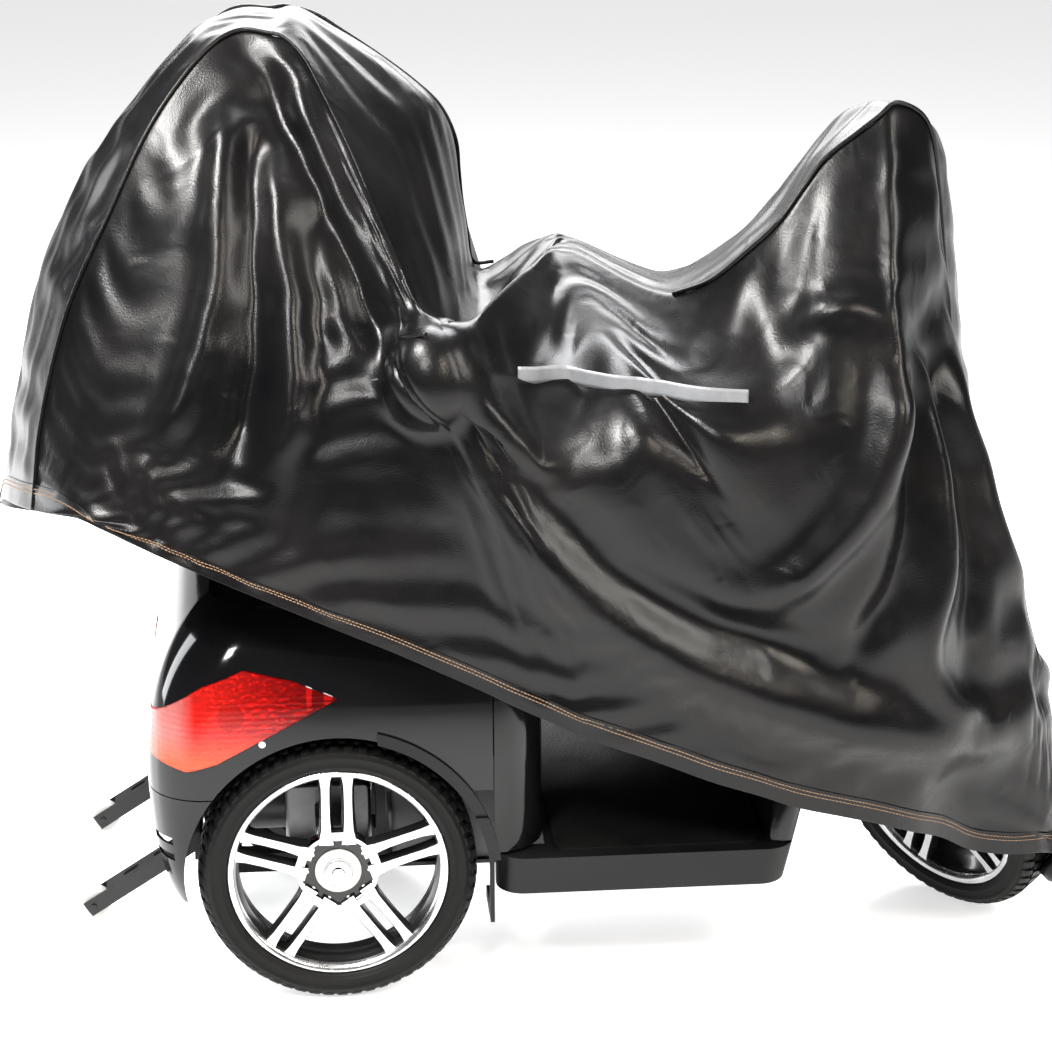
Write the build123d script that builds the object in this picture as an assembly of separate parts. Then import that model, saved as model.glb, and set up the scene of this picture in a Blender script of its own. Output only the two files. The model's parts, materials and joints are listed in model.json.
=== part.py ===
from build123d import *
import math
import os

os.makedirs("parts", exist_ok=True)

# ---------------------------------------------------------------- driving sizes (mm)
# Working frame: rear axle at X = 0, +X forward, +Y left, +Z up, floor at Z = 0.
tyreRadius = 205.0
tyreHalfWidth = 42.0
beadHalfWidth = 29.0
rimSeatRadius = 152.0
rimFlangeRadius = 162.0
hubFaceRadius = 61.0
hubDiscRadius = 34.0
hubCapRadius = 19.5
axleRadius = 9.5
rearTrackHalf = 215.0

rakeAngle = 22.0
steerTurn = 55.7
steerBaseX = 940.0
steerBaseZ = 197.6
forkOffset = 20.0
stemRadius = 17.0
headTubeWall = 9.0
tillerPivotUp = 460.0
tillerLean = 27.2
tillerPinRadius = 6.0

bodyHalfWidth = 272.0
bodyRearX = -272.0
bodyTopZ = 606.0
bodySplitX = 226.0
seamZ = 339.0
shellWall = 4.0
archRadius = 224.0

deckZ = 232.0
skirtZ = 176.0
deckHalfWidth = 282.0
deckFrontX = 660.0

railWidth = 30.0
railInnerY = 80.0
floorRailZ = 170.0
axleBeamHalf = 30.0
rearRailZ = tyreRadius - axleBeamHalf - railWidth

postX = 150.0
seatTurn = 20.8
postRadius = 25.0
postTopZ = 622.0
seatHalfWidth = 225.0
cushionTopZ = 765.0
backHingeX = -212.0
backHingeZ = 720.0
backRecline = 8.0
backTopZ = 1206.0
armPivotX = -175.0
armPivotZ = 876.0
armRise = 14.0
armPinRadius = 8.0
headRodRadius = 5.0
headTopZ = 1376.0

antiTipX = -362.0
antiTipY = 152.0
antiTipZ = 128.0
antiTipRadius = 25.0
antiTipPinRadius = 4.0

coverWall = 3.0

runClear = 0.05
bodyGap = 2.0
slideGap = 0.5


# ---------------------------------------------------------------- helpers
def block(x0, x1, y0, y1, z0, z1):
    return Pos((x0 + x1) / 2, (y0 + y1) / 2, (z0 + z1) / 2) * Box(x1 - x0, y1 - y0, z1 - z0)


def rodAlong(start, direction, radius, length):
    plane = Plane(origin=start, z_dir=direction)
    return plane * Pos(0, 0, length / 2) * Cylinder(radius, length)


def rodBetween(start, end, radius):
    span = Vector(*end) - Vector(*start)
    return rodAlong(start, (span.X, span.Y, span.Z), radius, span.length)


def softened(shape, size, axis=None):
    edges = shape.edges() if axis is None else shape.edges().filter_by(axis)
    return fillet(edges, size)


def bothSides(shape):
    return shape + mirror(shape, about=Plane.XZ)


def spun(points):
    """A ring about the Y axis from (radius, y) points."""
    face = make_face(Polyline([(r, y, 0) for r, y in points], close=True))
    return revolve(face, Axis.Y)


def roundedPlan(x0, x1, halfWidth, z, corner):
    plane = Plane(origin=((x0 + x1) / 2, 0, z))
    return plane * RectangleRounded(x1 - x0, 2 * halfWidth, corner)


def withScrew(point, direction, radius=5.0, height=2.5):
    return rodAlong(point, direction, radius, height)


parts = {}

# ---------------------------------------------------------------- wheels (axis along Y, outer face toward -Y)
def makeTyre():
    half = [
        (rimSeatRadius, beadHalfWidth),
        (rimFlangeRadius + 0.4, beadHalfWidth),
        (rimFlangeRadius + 4, beadHalfWidth + 9),
        (tyreRadius - 25, tyreHalfWidth),
        (tyreRadius - 11, tyreHalfWidth - 2),
        (tyreRadius - 4, tyreHalfWidth - 9),
        (tyreRadius, tyreHalfWidth - 22),
    ]
    full = half + [(r, -y) for r, y in reversed(half)]
    return spun(full)


def makeRim():
    flangeY = beadHalfWidth + 6
    barrel = spun([
        (rimSeatRadius, -beadHalfWidth), (rimFlangeRadius, -beadHalfWidth), (rimFlangeRadius, -flangeY),
        (rimSeatRadius - 3, -flangeY), (rimSeatRadius - 9, -beadHalfWidth + 6), (rimSeatRadius - 9, flangeY),
        (rimFlangeRadius, flangeY), (rimFlangeRadius, beadHalfWidth), (rimSeatRadius, beadHalfWidth),
    ])
    rim = barrel
    spokeIn = hubFaceRadius - 12
    spokeOut = rimSeatRadius - 6
    for n in range(5):
        for side in (-1, 1):
            bar = block(spokeIn, spokeOut, -30, -12, side * 17 - 6.5, side * 17 + 6.5)
            rim = rim + Rot(0, 72 * n - 90, 0) * bar
    hub = Pos(0, -13, 0) * Rot(90, 0, 0) * Cylinder(hubFaceRadius, 30)
    boss = Pos(0, 8, 0) * Rot(90, 0, 0) * Cylinder(hubFaceRadius - 22, 24)
    recess = Pos(0, -27, 0) * Rot(90, 0, 0) * (Cylinder(hubFaceRadius - 8, 8))
    rim = rim + hub + boss - recess
    for n in range(5):
        window = Rot(0, 72 * n - 90, 0) * block(hubFaceRadius - 5, hubFaceRadius + 20, -40, 2, -9, 9)
        rim = rim - window
    return rim - Rot(90, 0, 0) * Cylinder(axleRadius, 120)


def makeHubCap():
    disc = Pos(0, -25, 0) * Rot(90, 0, 0) * Cylinder(hubDiscRadius, 4)
    cap = Pos(0, -31, 0) * Rot(90, 0, 0) * Cylinder(hubCapRadius, 8)
    return fillet((disc + cap).edges().group_by(Axis.Y)[0], 2.5)


tyre = makeTyre()
rim = makeRim()
hubCap = makeHubCap()
shaft = Pos(0, 76, 0) * Rot(90, 0, 0) * Cylinder(axleRadius, 198)
shaft = shaft + Pos(0, 28, 0) * Rot(90, 0, 0) * Cylinder(axleRadius + 9, 10)
for side, name in ((-1, "right"), (1, "left")):
    place = Pos(0, -rearTrackHalf, tyreRadius)
    for node, shape in (("tyre", tyre), ("rim", rim), ("hub_cap", hubCap), ("axle", shaft)):
        here = place * shape
        parts[f"rear_{node}_{name}"] = here if side < 0 else mirror(here, about=Plane.XZ)

# ---------------------------------------------------------------- anti-tip wheels and arms
smallWheel = Rot(90, 0, 0) * Cylinder(antiTipRadius, 22)
smallWheel = fillet(smallWheel.edges(), 4) - Rot(90, 0, 0) * Cylinder(antiTipPinRadius + runClear, 40)
armLeanX = 150.0
armLeanZ = 96.0
arms = None
for side, name in ((-1, "right"), (1, "left")):
    hubAt = (antiTipX, side * antiTipY, antiTipZ)
    parts[f"anti_tip_wheel_{name}"] = Pos(*hubAt) * smallWheel
    pitch = math.degrees(math.atan2(armLeanZ, armLeanX))
    length = math.hypot(armLeanX, armLeanZ)
    web = block(antiTipRadius + 5, length + 18, -17, 17, 9, 12)
    cheeks = block(-11, length + 18, -17, -14, -12, 12) + block(-11, length + 18, 14, 17, -12, 12)
    slots = None
    for at in (0.42, 0.72):
        slot = Pos(length * at, 0, 10) * extrude(SlotOverall(28, 12), 10, both=True)
        slots = slot if slots is None else slots + slot
    arm = Rot(0, -pitch, 0) * (web + cheeks - slots)
    pin = Rot(90, 0, 0) * Cylinder(antiTipPinRadius, 40)
    arm = Pos(*hubAt) * (arm + pin)
    arms = arm if arms is None else arms + arm

# the arms bolt to a cross plate at the frame's tail
tailX = antiTipX + armLeanX
arms = arms + block(tailX + 2, tailX + 22, -antiTipY - 17, antiTipY + 17, 198, 226)
arms = arms + bothSides(block(-202, -196, railInnerY, railInnerY + railWidth, rearRailZ + 5, 204))
parts["anti_tip_arms"] = arms - block(-199, 0, -200, 200, 100, 300)

# ---------------------------------------------------------------- main frame
railOuterY = railInnerY + railWidth
frame = bothSides(block(-196, 330, railInnerY, railOuterY, rearRailZ, rearRailZ + railWidth))
frame = frame + bothSides(block(300, 640, railInnerY, railOuterY, floorRailZ, floorRailZ + railWidth))
for x0, z0 in ((-196, rearRailZ), (420, floorRailZ), (610, floorRailZ)):
    frame = frame + block(x0, x0 + railWidth, -railInnerY - 5, railInnerY + 5, z0, z0 + railWidth)
trayZ = rearRailZ + railWidth
frame = frame + block(76, 292, -168, 168, trayZ, trayZ + 4)
bridgeZ = 376.0
for x0 in (62, 286):
    frame = frame + bothSides(block(x0, x0 + 14, railInnerY, railOuterY, trayZ - 4, bridgeZ + 4))
frame = frame + block(62, 300, -railOuterY, railOuterY, bridgeZ, bridgeZ + 8)
postTube = Pos(postX, 0, bridgeZ + 60) * Cylinder(postRadius + 5, 120)
frame = frame + postTube
# posts and pads that carry the body shell, the bumper and the floor pan
shellPadZ = 440.0
frame = frame + bothSides(block(62, 82, 90, railOuterY, bridgeZ + 4, shellPadZ))
tailPadZ = 350.0
frame = frame + bothSides(block(-196, -176, 84, 104, trayZ - 4, tailPadZ))
for x0 in (340, 590):
    frame = frame + bothSides(block(x0, x0 + 20, railInnerY, railOuterY, floorRailZ + railWidth - 4, deckZ - 6))
frame = frame - Pos(postX, 0, bridgeZ + 80) * Cylinder(postRadius + runClear, 144)

steerAxis = Vector(-math.sin(math.radians(rakeAngle)), 0, math.cos(math.radians(rakeAngle)))


def onSteerAxis(up):
    return (steerBaseX + steerAxis.X * up, 0, steerBaseZ + steerAxis.Z * up)


neck = [(625, 0, 185), (708, 0, 268), (722, 0, 430), onSteerAxis(330)]
for a, b in zip(neck, neck[1:]):
    frame = frame + rodBetween(a, b, 21)
for p in neck[1:3]:
    frame = frame + Pos(*p) * Sphere(21)
headDown = 262.0
headUp = 400.0
headTube = rodBetween(onSteerAxis(headDown), onSteerAxis(headUp), stemRadius + headTubeWall)
frame = frame + headTube - rodBetween(onSteerAxis(200), onSteerAxis(480), stemRadius + runClear)
parts["main_frame"] = frame

# ---------------------------------------------------------------- drive unit and batteries
gearCase = softened(block(-74, 56, -70, 40, tyreRadius - 53, tyreRadius + 63), 12)
gearCase = gearCase - bothSides(block(-80, 60, railInnerY - 12, 200, 100, 300))
beam = block(-axleBeamHalf, axleBeamHalf, -150, 150, tyreRadius - axleBeamHalf, tyreRadius + axleBeamHalf)
transaxle = gearCase + beam
transaxle = transaxle - Pos(0, 0, tyreRadius) * Rot(90, 0, 0) * Cylinder(axleRadius + runClear, 400)
parts["transaxle"] = transaxle
motorY = -15.0
motorZ = tyreRadius + 17
motor = rodAlong((-74, motorY, motorZ), (-1, 0, 0), 44, 96) + rodAlong((-170, motorY, motorZ), (-1, 0, 0), 36, 24)
leverPin = (-182, motorY, motorZ + 46)
motor = motor + block(-190, -174, motorY - 8, motorY + 8, motorZ + 30, motorZ + 37)
motor = motor + block(-190, -174, motorY - 9, motorY - 5, motorZ + 30, motorZ + 54)
motor = motor + rodAlong((leverPin[0], motorY - 6, leverPin[2] + 2), (0, 1, 0), 3, 18)
parts["drive_motor"] = motor
leverHub = rodAlong((leverPin[0], motorY - 4, leverPin[2] + 2), (0, 1, 0), 8, 12)
lever = leverHub + block(leverPin[0] - 6, leverPin[0] + 6, motorY - 2, motorY + 6, leverPin[2] + 6, leverPin[2] + 92)
lever = lever + Pos(leverPin[0], motorY + 2, leverPin[2] + 96) * Sphere(11)
parts["freewheel_lever"] = lever - rodAlong((leverPin[0], -60, leverPin[2] + 2), (0, 1, 0), 3 + runClear, 120)
for name, side in (("right", -1), ("left", 1)):
    box = softened(block(84, 280, 6, 160, trayZ + 4, trayZ + 168), 5, Axis.Z)
    posts = rodAlong((110, 40, trayZ + 168), (0, 0, 1), 8, 12) + rodAlong((254, 40, trayZ + 168), (0, 0, 1), 8, 12)
    box = box + posts
    parts[f"battery_{name}"] = box if side > 0 else mirror(box, about=Plane.XZ)


# ---------------------------------------------------------------- rear body shell
def bodyHull(inset):
    rows = (
        (150.0, bodyRearX + 42, bodyHalfWidth - 18, 60),
        (240.0, bodyRearX + 10, bodyHalfWidth - 3, 74),
        (seamZ, bodyRearX, bodyHalfWidth, 84),
        (470.0, bodyRearX + 12, bodyHalfWidth - 8, 90),
        (550.0, bodyRearX + 46, bodyHalfWidth - 36, 90),
        (bodyTopZ, bodyRearX + 96, bodyHalfWidth - 86, 70),
    )
    sections = []
    for z, rear, half, corner in rows:
        top = z - inset if z == bodyTopZ else z
        low = top - inset * 2 if z == 150.0 else top
        sections.append(roundedPlan(rear + inset, 304 - inset, half - inset, low, corner - inset * 0.5))
    return loft(sections)


outerHull = bodyHull(0)
innerHull = bodyHull(shellWall)
skin = outerHull - innerHull
wells = bothSides(Pos(0, 220, tyreRadius) * Rot(90, 0, 0) * Cylinder(archRadius, 104 + 60))
wellLiner = bothSides(
    Pos(0, 226, tyreRadius) * Rot(90, 0, 0) * (Cylinder(archRadius + 3, 110) - Cylinder(archRadius, 112))
)
wellLiner = (wellLiner & outerHull) - block(-400, 400, -400, 400, 0, seamZ + 1)
upper = skin - block(bodySplitX, 400, -400, 400, 0, 900)
upper = upper - block(-400, 400, -400, 400, 0, seamZ + 1)
upper = upper - wells + wellLiner
upper = upper + (bothSides(block(62, 88, 92, 280, shellPadZ, shellPadZ + 4)) & outerHull)
upper = upper + (bothSides(block(-290, -176, 84, 104, tailPadZ, tailPadZ + 4)) & outerHull)
seatOpening = Pos(postX, 0, bodyTopZ) * Cylinder(postRadius + 14, 60)
upper = upper - seatOpening
bumper = skin - block(-118, 400, -400, 400, 0, 900) - block(-400, 400, -400, 400, seamZ - 1, 900)
bumper = bumper - wells - block(-400, 400, -400, 400, 100, 162)
for n in range(2):
    for side in (-1, 1):
        slot = Pos(-230, side * 214, 268 - 26 * n) * Rot(0, 0, side * -42) * Box(150, 46, 11)
        bumper = bumper - slot
bumper = bumper - block(-300, -180, -antiTipY - 32, antiTipY + 32, 100, 228)
bumper = bumper + (bothSides(block(-290, -196, 84, 104, 326, 330)) & outerHull)

# tail lamps: a lens let into each rear corner, with a two-bowl reflector behind it
lampOutline = [
    (-300, 405), (-215, 384), (-170, 396), (-70, 448), (4, 486), (-60, 512), (-128, 528), (-190, 505), (-300, 430)
]
lampCut = extrude(Plane.XZ * make_face(Polyline(lampOutline, close=True)), 400)
lampZone = lampCut - block(-400, 400, -170, 0, 0, 900)
lensPlug = bodyHull(-1.5) - bodyHull(2.5)
lensRight = lensPlug & lampZone
bezelZone = extrude(
    Plane.XZ * offset(make_face(Polyline(lampOutline, close=True)), 1.2, kind=Kind.INTERSECTION), 400
) - block(-400, 400, -168.8, 0, 0, 900)
upper = upper - bezelZone - mirror(bezelZone, about=Plane.XZ)
parts["rear_shell"] = upper
parts["rear_bumper"] = bumper
bowlPlug = (bodyHull(2.5) - bodyHull(22.0)) & (lampZone - block(-40, 100, -400, 0, 0, 900))
flangeZone = extrude(
    Plane.XZ * offset(make_face(Polyline(lampOutline, close=True)), 8, kind=Kind.INTERSECTION), 400
) - block(-400, 400, -162, 0, 0, 900)
bowlPlug = bowlPlug + ((innerHull - bodyHull(8.0)) & (flangeZone - block(-40, 100, -400, 0, 0, 900)))
for at in ((-150, -250, 462, 24), (-205, -222, 446, 22)):
    bowlPlug = bowlPlug - Pos(at[0], at[1], at[2]) * Sphere(at[3])
bowlPlug = bowlPlug - wells - wellLiner
lensSolid = lensRight.solids().sort_by(SortBy.VOLUME)[-1]
bowlSolid = bowlPlug.solids().sort_by(SortBy.VOLUME)[-1]
parts["tail_lamp_lens_right"] = lensSolid
parts["tail_lamp_lens_left"] = mirror(lensSolid, about=Plane.XZ)
parts["tail_lamp_bowl_right"] = bowlSolid
parts["tail_lamp_bowl_left"] = mirror(bowlSolid, about=Plane.XZ)

# seat box: the front end of the body, with a recess for the charging socket
seatBox = skin - block(-400, bodySplitX + bodyGap, -400, 400, 0, 900)
seatBox = seatBox - block(-400, 400, -400, 400, 0, deckZ + 6)
seatBox = seatBox + block(270, 302, -60, 60, bridgeZ + 8, bridgeZ + 12)
seatBox = seatBox + Pos(302, 150, 470) * Rot(0, 90, 0) * Cylinder(26, 14)
seatBox = seatBox - Pos(306, 150, 470) * Rot(0, 90, 0) * Cylinder(21, 16)
flapPinZ = 470 + 30.0
flapPinX = 311.0
seatBox = seatBox + bothSides(block(300, 314, 8, 14, flapPinZ - 5, flapPinZ + 5)).moved(Location((0, 150, 0)))
seatBox = seatBox + rodAlong((flapPinX, 150 - 12, flapPinZ), (0, 1, 0), 2, 24)
parts["seat_box"] = seatBox
flap = rodAlong((flapPinX, 150 - 7.4, flapPinZ), (0, 1, 0), 4.5, 14.8)
flap = flap + Pos(flapPinX + 1.5, 150, 468) * Rot(0, 90, 0) * Cylinder(25, 3)
flap = flap + block(flapPinX, flapPinX + 3, 150 - 7, 150 + 7, 485, flapPinZ)
parts["charger_flap"] = flap - rodAlong((flapPinX, 130, flapPinZ), (0, 1, 0), 2 + runClear, 40)

# wheel-arch trims with their mud flaps
trim = Pos(0, 262, tyreRadius) * Rot(90, 0, 0) * (Cylinder(archRadius + 14, 40) - Cylinder(archRadius - 3, 42))
trim = trim - block(-400, 400, 0, 400, 0, tyreRadius + 12) - block(-400, 60, 0, 400, 0, 900)
flapPanel = block(archRadius - 3, archRadius + 14, 196, 282, 132, tyreRadius + 14)
trim = trim + flapPanel
trimOuter = bodyHull(-6) + block(0, 300, 0, 282, 100, 300)
trim = trim & trimOuter
trim = trim - bodyHull(0) - block(archRadius + 3, 400, 0, 400, 0, 232)
trimSolid = trim.solids().sort_by(SortBy.VOLUME)[-1]
parts["arch_trim_left"] = trimSolid
parts["arch_trim_right"] = mirror(trimSolid, about=Plane.XZ)

# ---------------------------------------------------------------- floor pan, mat and leg shield
panX0 = archRadius + 8
pan = roundedPlan(panX0, deckFrontX, deckHalfWidth, skirtZ, 40)
pan = loft([pan, roundedPlan(panX0, deckFrontX + 14, deckHalfWidth, deckZ, 44)])
hollow = loft([
    roundedPlan(panX0 + 5, deckFrontX - 5, deckHalfWidth - 5, skirtZ - 1, 36),
    roundedPlan(panX0 + 5, deckFrontX + 8, deckHalfWidth - 5, deckZ - 6, 38),
])
pan = pan - hollow
neckRoom = rodBetween(neck[0], neck[1], 24) + rodBetween(neck[1], neck[2], 24) + rodBetween(neck[2], neck[3], 24)
neckRoom = neckRoom + Pos(*neck[1]) * Sphere(24) + Pos(*neck[2]) * Sphere(24)
pan = pan - neckRoom
pan = pan - block(panX0 - 10, 306, -bodyHalfWidth + 40, bodyHalfWidth - 40, 0, 300)
parts["floor_pan"] = pan
mat = roundedPlan(318, deckFrontX - 36, deckHalfWidth - 22, deckZ, 22)
mat = extrude(mat, 4)
parts["floor_mat"] = mat

# leg shield: curved panel rising from the pan's front edge round the steering head
shieldRows = (
    (deckZ, deckFrontX - 30, deckFrontX + 14, 262, 20),
    (330.0, 652, 700, 246, 22),
    (440.0, 676, 728, 205, 24),
    (540.0, 690, 738, 150, 22),
)


def shieldHull(inset, lift):
    rows = []
    for z, rear, front, half, corner in shieldRows:
        rows.append(roundedPlan(rear + inset, front - inset, half - inset, z + lift, corner - inset * 0.7))
    return loft(rows)


shield = shieldHull(0, 0)
shield = shield - shieldHull(shellWall, -0.01)
shield = shield + (shieldHull(0, 0) & block(600, 800, -200, 200, 536, 540))
shield = shield - neckRoom
shield = shield - rodBetween(onSteerAxis(230), onSteerAxis(500), stemRadius + headTubeWall + 3)
parts["front_shroud"] = shield

screws = None
for at, along in (((-105, bodyHalfWidth - 2.2, 424), (0, 1, 0)), ((190, bodyHalfWidth - 6, 410), (0, 1, 0))):
    one = withScrew(at, along)
    screws = one if screws is None else screws + one
parts["body_screws"] = bothSides(screws) - bodyHull(0)

# ---------------------------------------------------------------- steered group, built about the raked axis
steerFrame = Pos(steerBaseX, 0, steerBaseZ) * Rot(0, -rakeAngle, 0) * Rot(0, 0, -steerTurn)
legInner = tyreHalfWidth + 10
crownZ = tyreRadius + 10
fork = rodAlong((0, 0, crownZ), (0, 0, 1), stemRadius, tillerPivotUp - 22 - crownZ)
fork = fork + softened(block(-26, 44, -legInner - 16, legInner + 16, crownZ, crownZ + 28), 6, Axis.Z)
fork = fork - Pos(forkOffset, 0, 0) * Rot(90, 0, 0) * Cylinder(tyreRadius + 14, 400)
legs = bothSides(block(-4, 34, legInner, legInner + 14, -26, crownZ + 6))
fork = fork + legs
ears = bothSides(block(-16, 16, 26, 34, tillerPivotUp - 30, tillerPivotUp + 18))
fork = fork + ears + block(-16, 16, -34, 34, tillerPivotUp - 36, tillerPivotUp - 26)
fork = fork + rodAlong((0, -38, tillerPivotUp), (0, 1, 0), tillerPinRadius, 76)
fork = fork + rodAlong((0, 0, headUp + 3), (0, 0, 1), stemRadius + headTubeWall, 8)
fork = fork - rodAlong((forkOffset, -100, 0), (0, 1, 0), axleRadius, 200)
parts["front_fork"] = steerFrame * fork
fenderWidth = tyreHalfWidth + 6
fender = Pos(forkOffset, 0, 0) * Rot(90, 0, 0) * (
    Cylinder(tyreRadius + 14, 2 * fenderWidth) - Cylinder(tyreRadius + 10, 2 * fenderWidth + 2)
)
fender = fender - block(-400, 400, -100, 100, -400, 40) - block(forkOffset + 150, 400, -100, 100, -400, 400)
parts["front_fender"] = steerFrame * fender
frontWheel = Pos(forkOffset, 0, 0)
parts["front_tyre"] = steerFrame * frontWheel * tyre
frontRim = rim + Pos(0, 18, 0) * Rot(90, 0, 0) * (Cylinder(24, 30) - Cylinder(axleRadius + runClear, 40))
frontRim = frontRim - Rot(90, 0, 0) * Cylinder(axleRadius + runClear, 120)
parts["front_rim"] = steerFrame * frontWheel * frontRim
frontCap = hubCap - Rot(90, 0, 0) * Cylinder(axleRadius + runClear, 120)
parts["front_hub_cap"] = steerFrame * frontWheel * frontCap
frontAxle = rodAlong((0, -legInner - 24, 0), (0, 1, 0), axleRadius, 2 * legInner + 48)
frontAxle = frontAxle + rodAlong((0, -legInner - 26, 0), (0, 1, 0), 15, 12) + rodAlong((0, legInner + 14, 0), (0, 1, 0), 15, 12)
parts["front_axle"] = steerFrame * frontWheel * frontAxle

# ---------------------------------------------------------------- tiller
tillerFrame = steerFrame * Pos(0, 0, tillerPivotUp) * Rot(0, tillerLean, 0)
consoleZ = 330.0
consoleTop = 448.0
column = rodAlong((0, -24, 0), (0, 1, 0), 17, 48) + rodAlong((0, 0, 0), (0, 0, 1), 19, consoleZ)
column = column - rodAlong((0, -60, 0), (0, 1, 0), tillerPinRadius + runClear, 120)
parts["tiller_column"] = tillerFrame * column
console = softened(block(-48, 56, -112, 112, consoleZ, consoleTop), 20)
barZ = 400.0
barX = -14.0
knobX = -8.0
keyY = 66.0
hornY = -66.0
console = console - rodAlong((barX, -200, barZ), (0, 1, 0), 11, 400)
for y, radius in ((0, 4), (keyY, 4)):
    console = console - rodAlong((knobX, y, consoleTop - 16), (0, 0, 1), radius + runClear, 40)
console = console - rodAlong((knobX, hornY, consoleTop - 10), (0, 0, 1), 8 + runClear, 40)
throttlePost = (-34, -78, consoleZ - 22)
brakePost = (24, 96, consoleZ - 22)
for post in (throttlePost, brakePost):
    console = console + rodAlong(post, (0, 0, 1), 5, 24)
lampZ = 386.0
console = console - rodAlong((40, 0, lampZ), (1, 0, 0), 34, 40)
parts["tiller_console"] = tillerFrame * console
bowl = rodAlong((40, 0, lampZ), (1, 0, 0), 34, 40) - Pos(86, 0, lampZ) * Sphere(32)
bowl = bowl + (rodAlong((58, 0, lampZ), (1, 0, 0), 42, 26) - rodAlong((50, 0, lampZ), (1, 0, 0), 34, 60))
parts["headlamp_bowl"] = tillerFrame * bowl
parts["headlamp_lens"] = tillerFrame * (
    rodAlong((80, 0, lampZ), (1, 0, 0), 34, 4) + (rodAlong((84, 0, lampZ), (1, 0, 0), 42, 5))
)
handlePath = [(barX, 0, barZ), (barX, 128, barZ), (barX - 34, 166, barZ + 10), (barX - 50, 282, barZ + 18)]
bar = None
for a, b in zip(handlePath, handlePath[1:]):
    piece = rodBetween(a, b, 11)
    bar = piece if bar is None else bar + piece
for p in handlePath[1:3]:
    bar = bar + Pos(*p) * Sphere(11)
bar = bothSides(bar)
gripStart = Vector(*handlePath[2]) + (Vector(*handlePath[3]) - Vector(*handlePath[2])) * 0.12
gripDir = Vector(*handlePath[3]) - Vector(*handlePath[2])
gripEnd = gripStart + gripDir * 0.94
grip = rodBetween(tuple(gripStart), tuple(gripEnd), 17)
parts["handlebar"] = tillerFrame * bar
grip = fillet(grip.edges(), 4)
grip = grip - rodBetween(handlePath[2], handlePath[3], 11)
parts["handle_grips"] = tillerFrame * bothSides(grip)
armFoot = (barX + 2, 118, barZ + 9)
armKnee = (-30, 150, 474)
mirrorAt = (-50, 190, 538)
stalk = rodBetween(armFoot, armKnee, 5) + Pos(*armKnee) * Sphere(5) + rodBetween(armKnee, mirrorAt, 5)
stalk = stalk - rodBetween((barX, 0, barZ), (barX, 200, barZ), 11) - block(-60, 60, 0, 113, 300, 460)
mirrorShell = Pos(*mirrorAt) * softened(Box(20, 128, 84), 9)
glassCut = Pos(mirrorAt[0] - 9, mirrorAt[1], mirrorAt[2]) * Box(4, 108, 64)
mirrorShell = mirrorShell - glassCut
stalk = stalk - Pos(*mirrorAt) * Box(18, 120, 76) + mirrorShell
parts["mirror_arm"] = tillerFrame * stalk
glass = Pos(mirrorAt[0] - 8.5, mirrorAt[1], mirrorAt[2]) * Box(3, 108, 64)
parts["mirror_glass"] = tillerFrame * glass


def paddle(post, side, reach, sweepBack):
    hub = rodAlong((post[0], post[1], post[2] + 2), (0, 0, 1), 12, 14)
    far = (post[0] + sweepBack, post[1] + side * reach, post[2] + 9)
    arm = rodBetween((post[0], post[1], post[2] + 9), far, 5) + Pos(*far) * Sphere(7)
    return hub + arm - rodAlong((post[0], post[1], post[2] - 30), (0, 0, 1), 5 + runClear, 80)


parts["throttle_lever"] = tillerFrame * paddle(throttlePost, -1, 132, -22)
parts["brake_lever"] = tillerFrame * paddle(brakePost, 1, 142, -12)
key = rodAlong((knobX, keyY, consoleTop - 14), (0, 0, 1), 4, 18) + block(
    knobX - 1.5, knobX + 1.5, keyY - 10, keyY + 10, consoleTop + 3, consoleTop + 24
)
parts["ignition_key"] = tillerFrame * key
knob = rodAlong((knobX, 0, consoleTop - 14), (0, 0, 1), 4, 18) + rodAlong((knobX, 0, consoleTop + 1.5), (0, 0, 1), 17, 13)
knob = knob + block(knobX + 8, knobX + 16, -1.5, 1.5, consoleTop + 14, consoleTop + 16)
parts["speed_knob"] = tillerFrame * knob
parts["horn_button"] = tillerFrame * rodAlong((knobX, hornY, consoleTop - 6), (0, 0, 1), 8, 10)

# ---------------------------------------------------------------- seat, turned on its post
seatFrame = Pos(postX, 0, 0) * Rot(0, 0, -seatTurn)
post = Pos(0, 0, (410 + postTopZ) / 2) * Cylinder(postRadius, postTopZ - 410)
post = post + Pos(0, 0, postTopZ + 4) * Cylinder(58, 8) + Pos(0, 0, postTopZ + 15) * Cylinder(20, 14)
post = post - Pos(0, 0, 480) * Cylinder(postRadius - 4, 200)
parts["seat_post"] = seatFrame * post
plateZ = postTopZ + 10
plate = block(-120, 120, -114, 114, plateZ, plateZ + 7) - Pos(0, 0, plateZ) * Cylinder(20 + runClear, 60)
railTop = plateZ + 26
plate = plate + bothSides(block(-150, 150, 90, 104, plateZ, railTop))
plate = plate - Pos(0, 0, plateZ) * Cylinder(20 + runClear, 60)
swivelHandle = rodBetween((60, -112, plateZ + 3.5), (86, -190, plateZ + 3.5), 3.4) + Pos(86, -190, plateZ + 3.5) * Sphere(8)
parts["seat_swivel_plate"] = seatFrame * (plate + swivelHandle)
panZ = railTop + slideGap
seatPan = block(-195, 215, -200, 200, panZ, panZ + 6)
for y0, y1 in ((90 - slideGap - 4, 90 - slideGap), (104 + slideGap, 104 + slideGap + 4)):
    seatPan = seatPan + bothSides(block(-90, 90, y0, y1, plateZ + 12, panZ + 1))
panTop = panZ + 6
earY = seatHalfWidth - 24
seatPan = seatPan + bothSides(block(backHingeX - 18, -186, earY - 6, earY, panTop - 6, backHingeZ + 16))
seatPan = seatPan - rodAlong((backHingeX, -300, backHingeZ), (0, 1, 0), 6 + runClear, 600)
parts["seat_pan"] = seatFrame * seatPan
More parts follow.
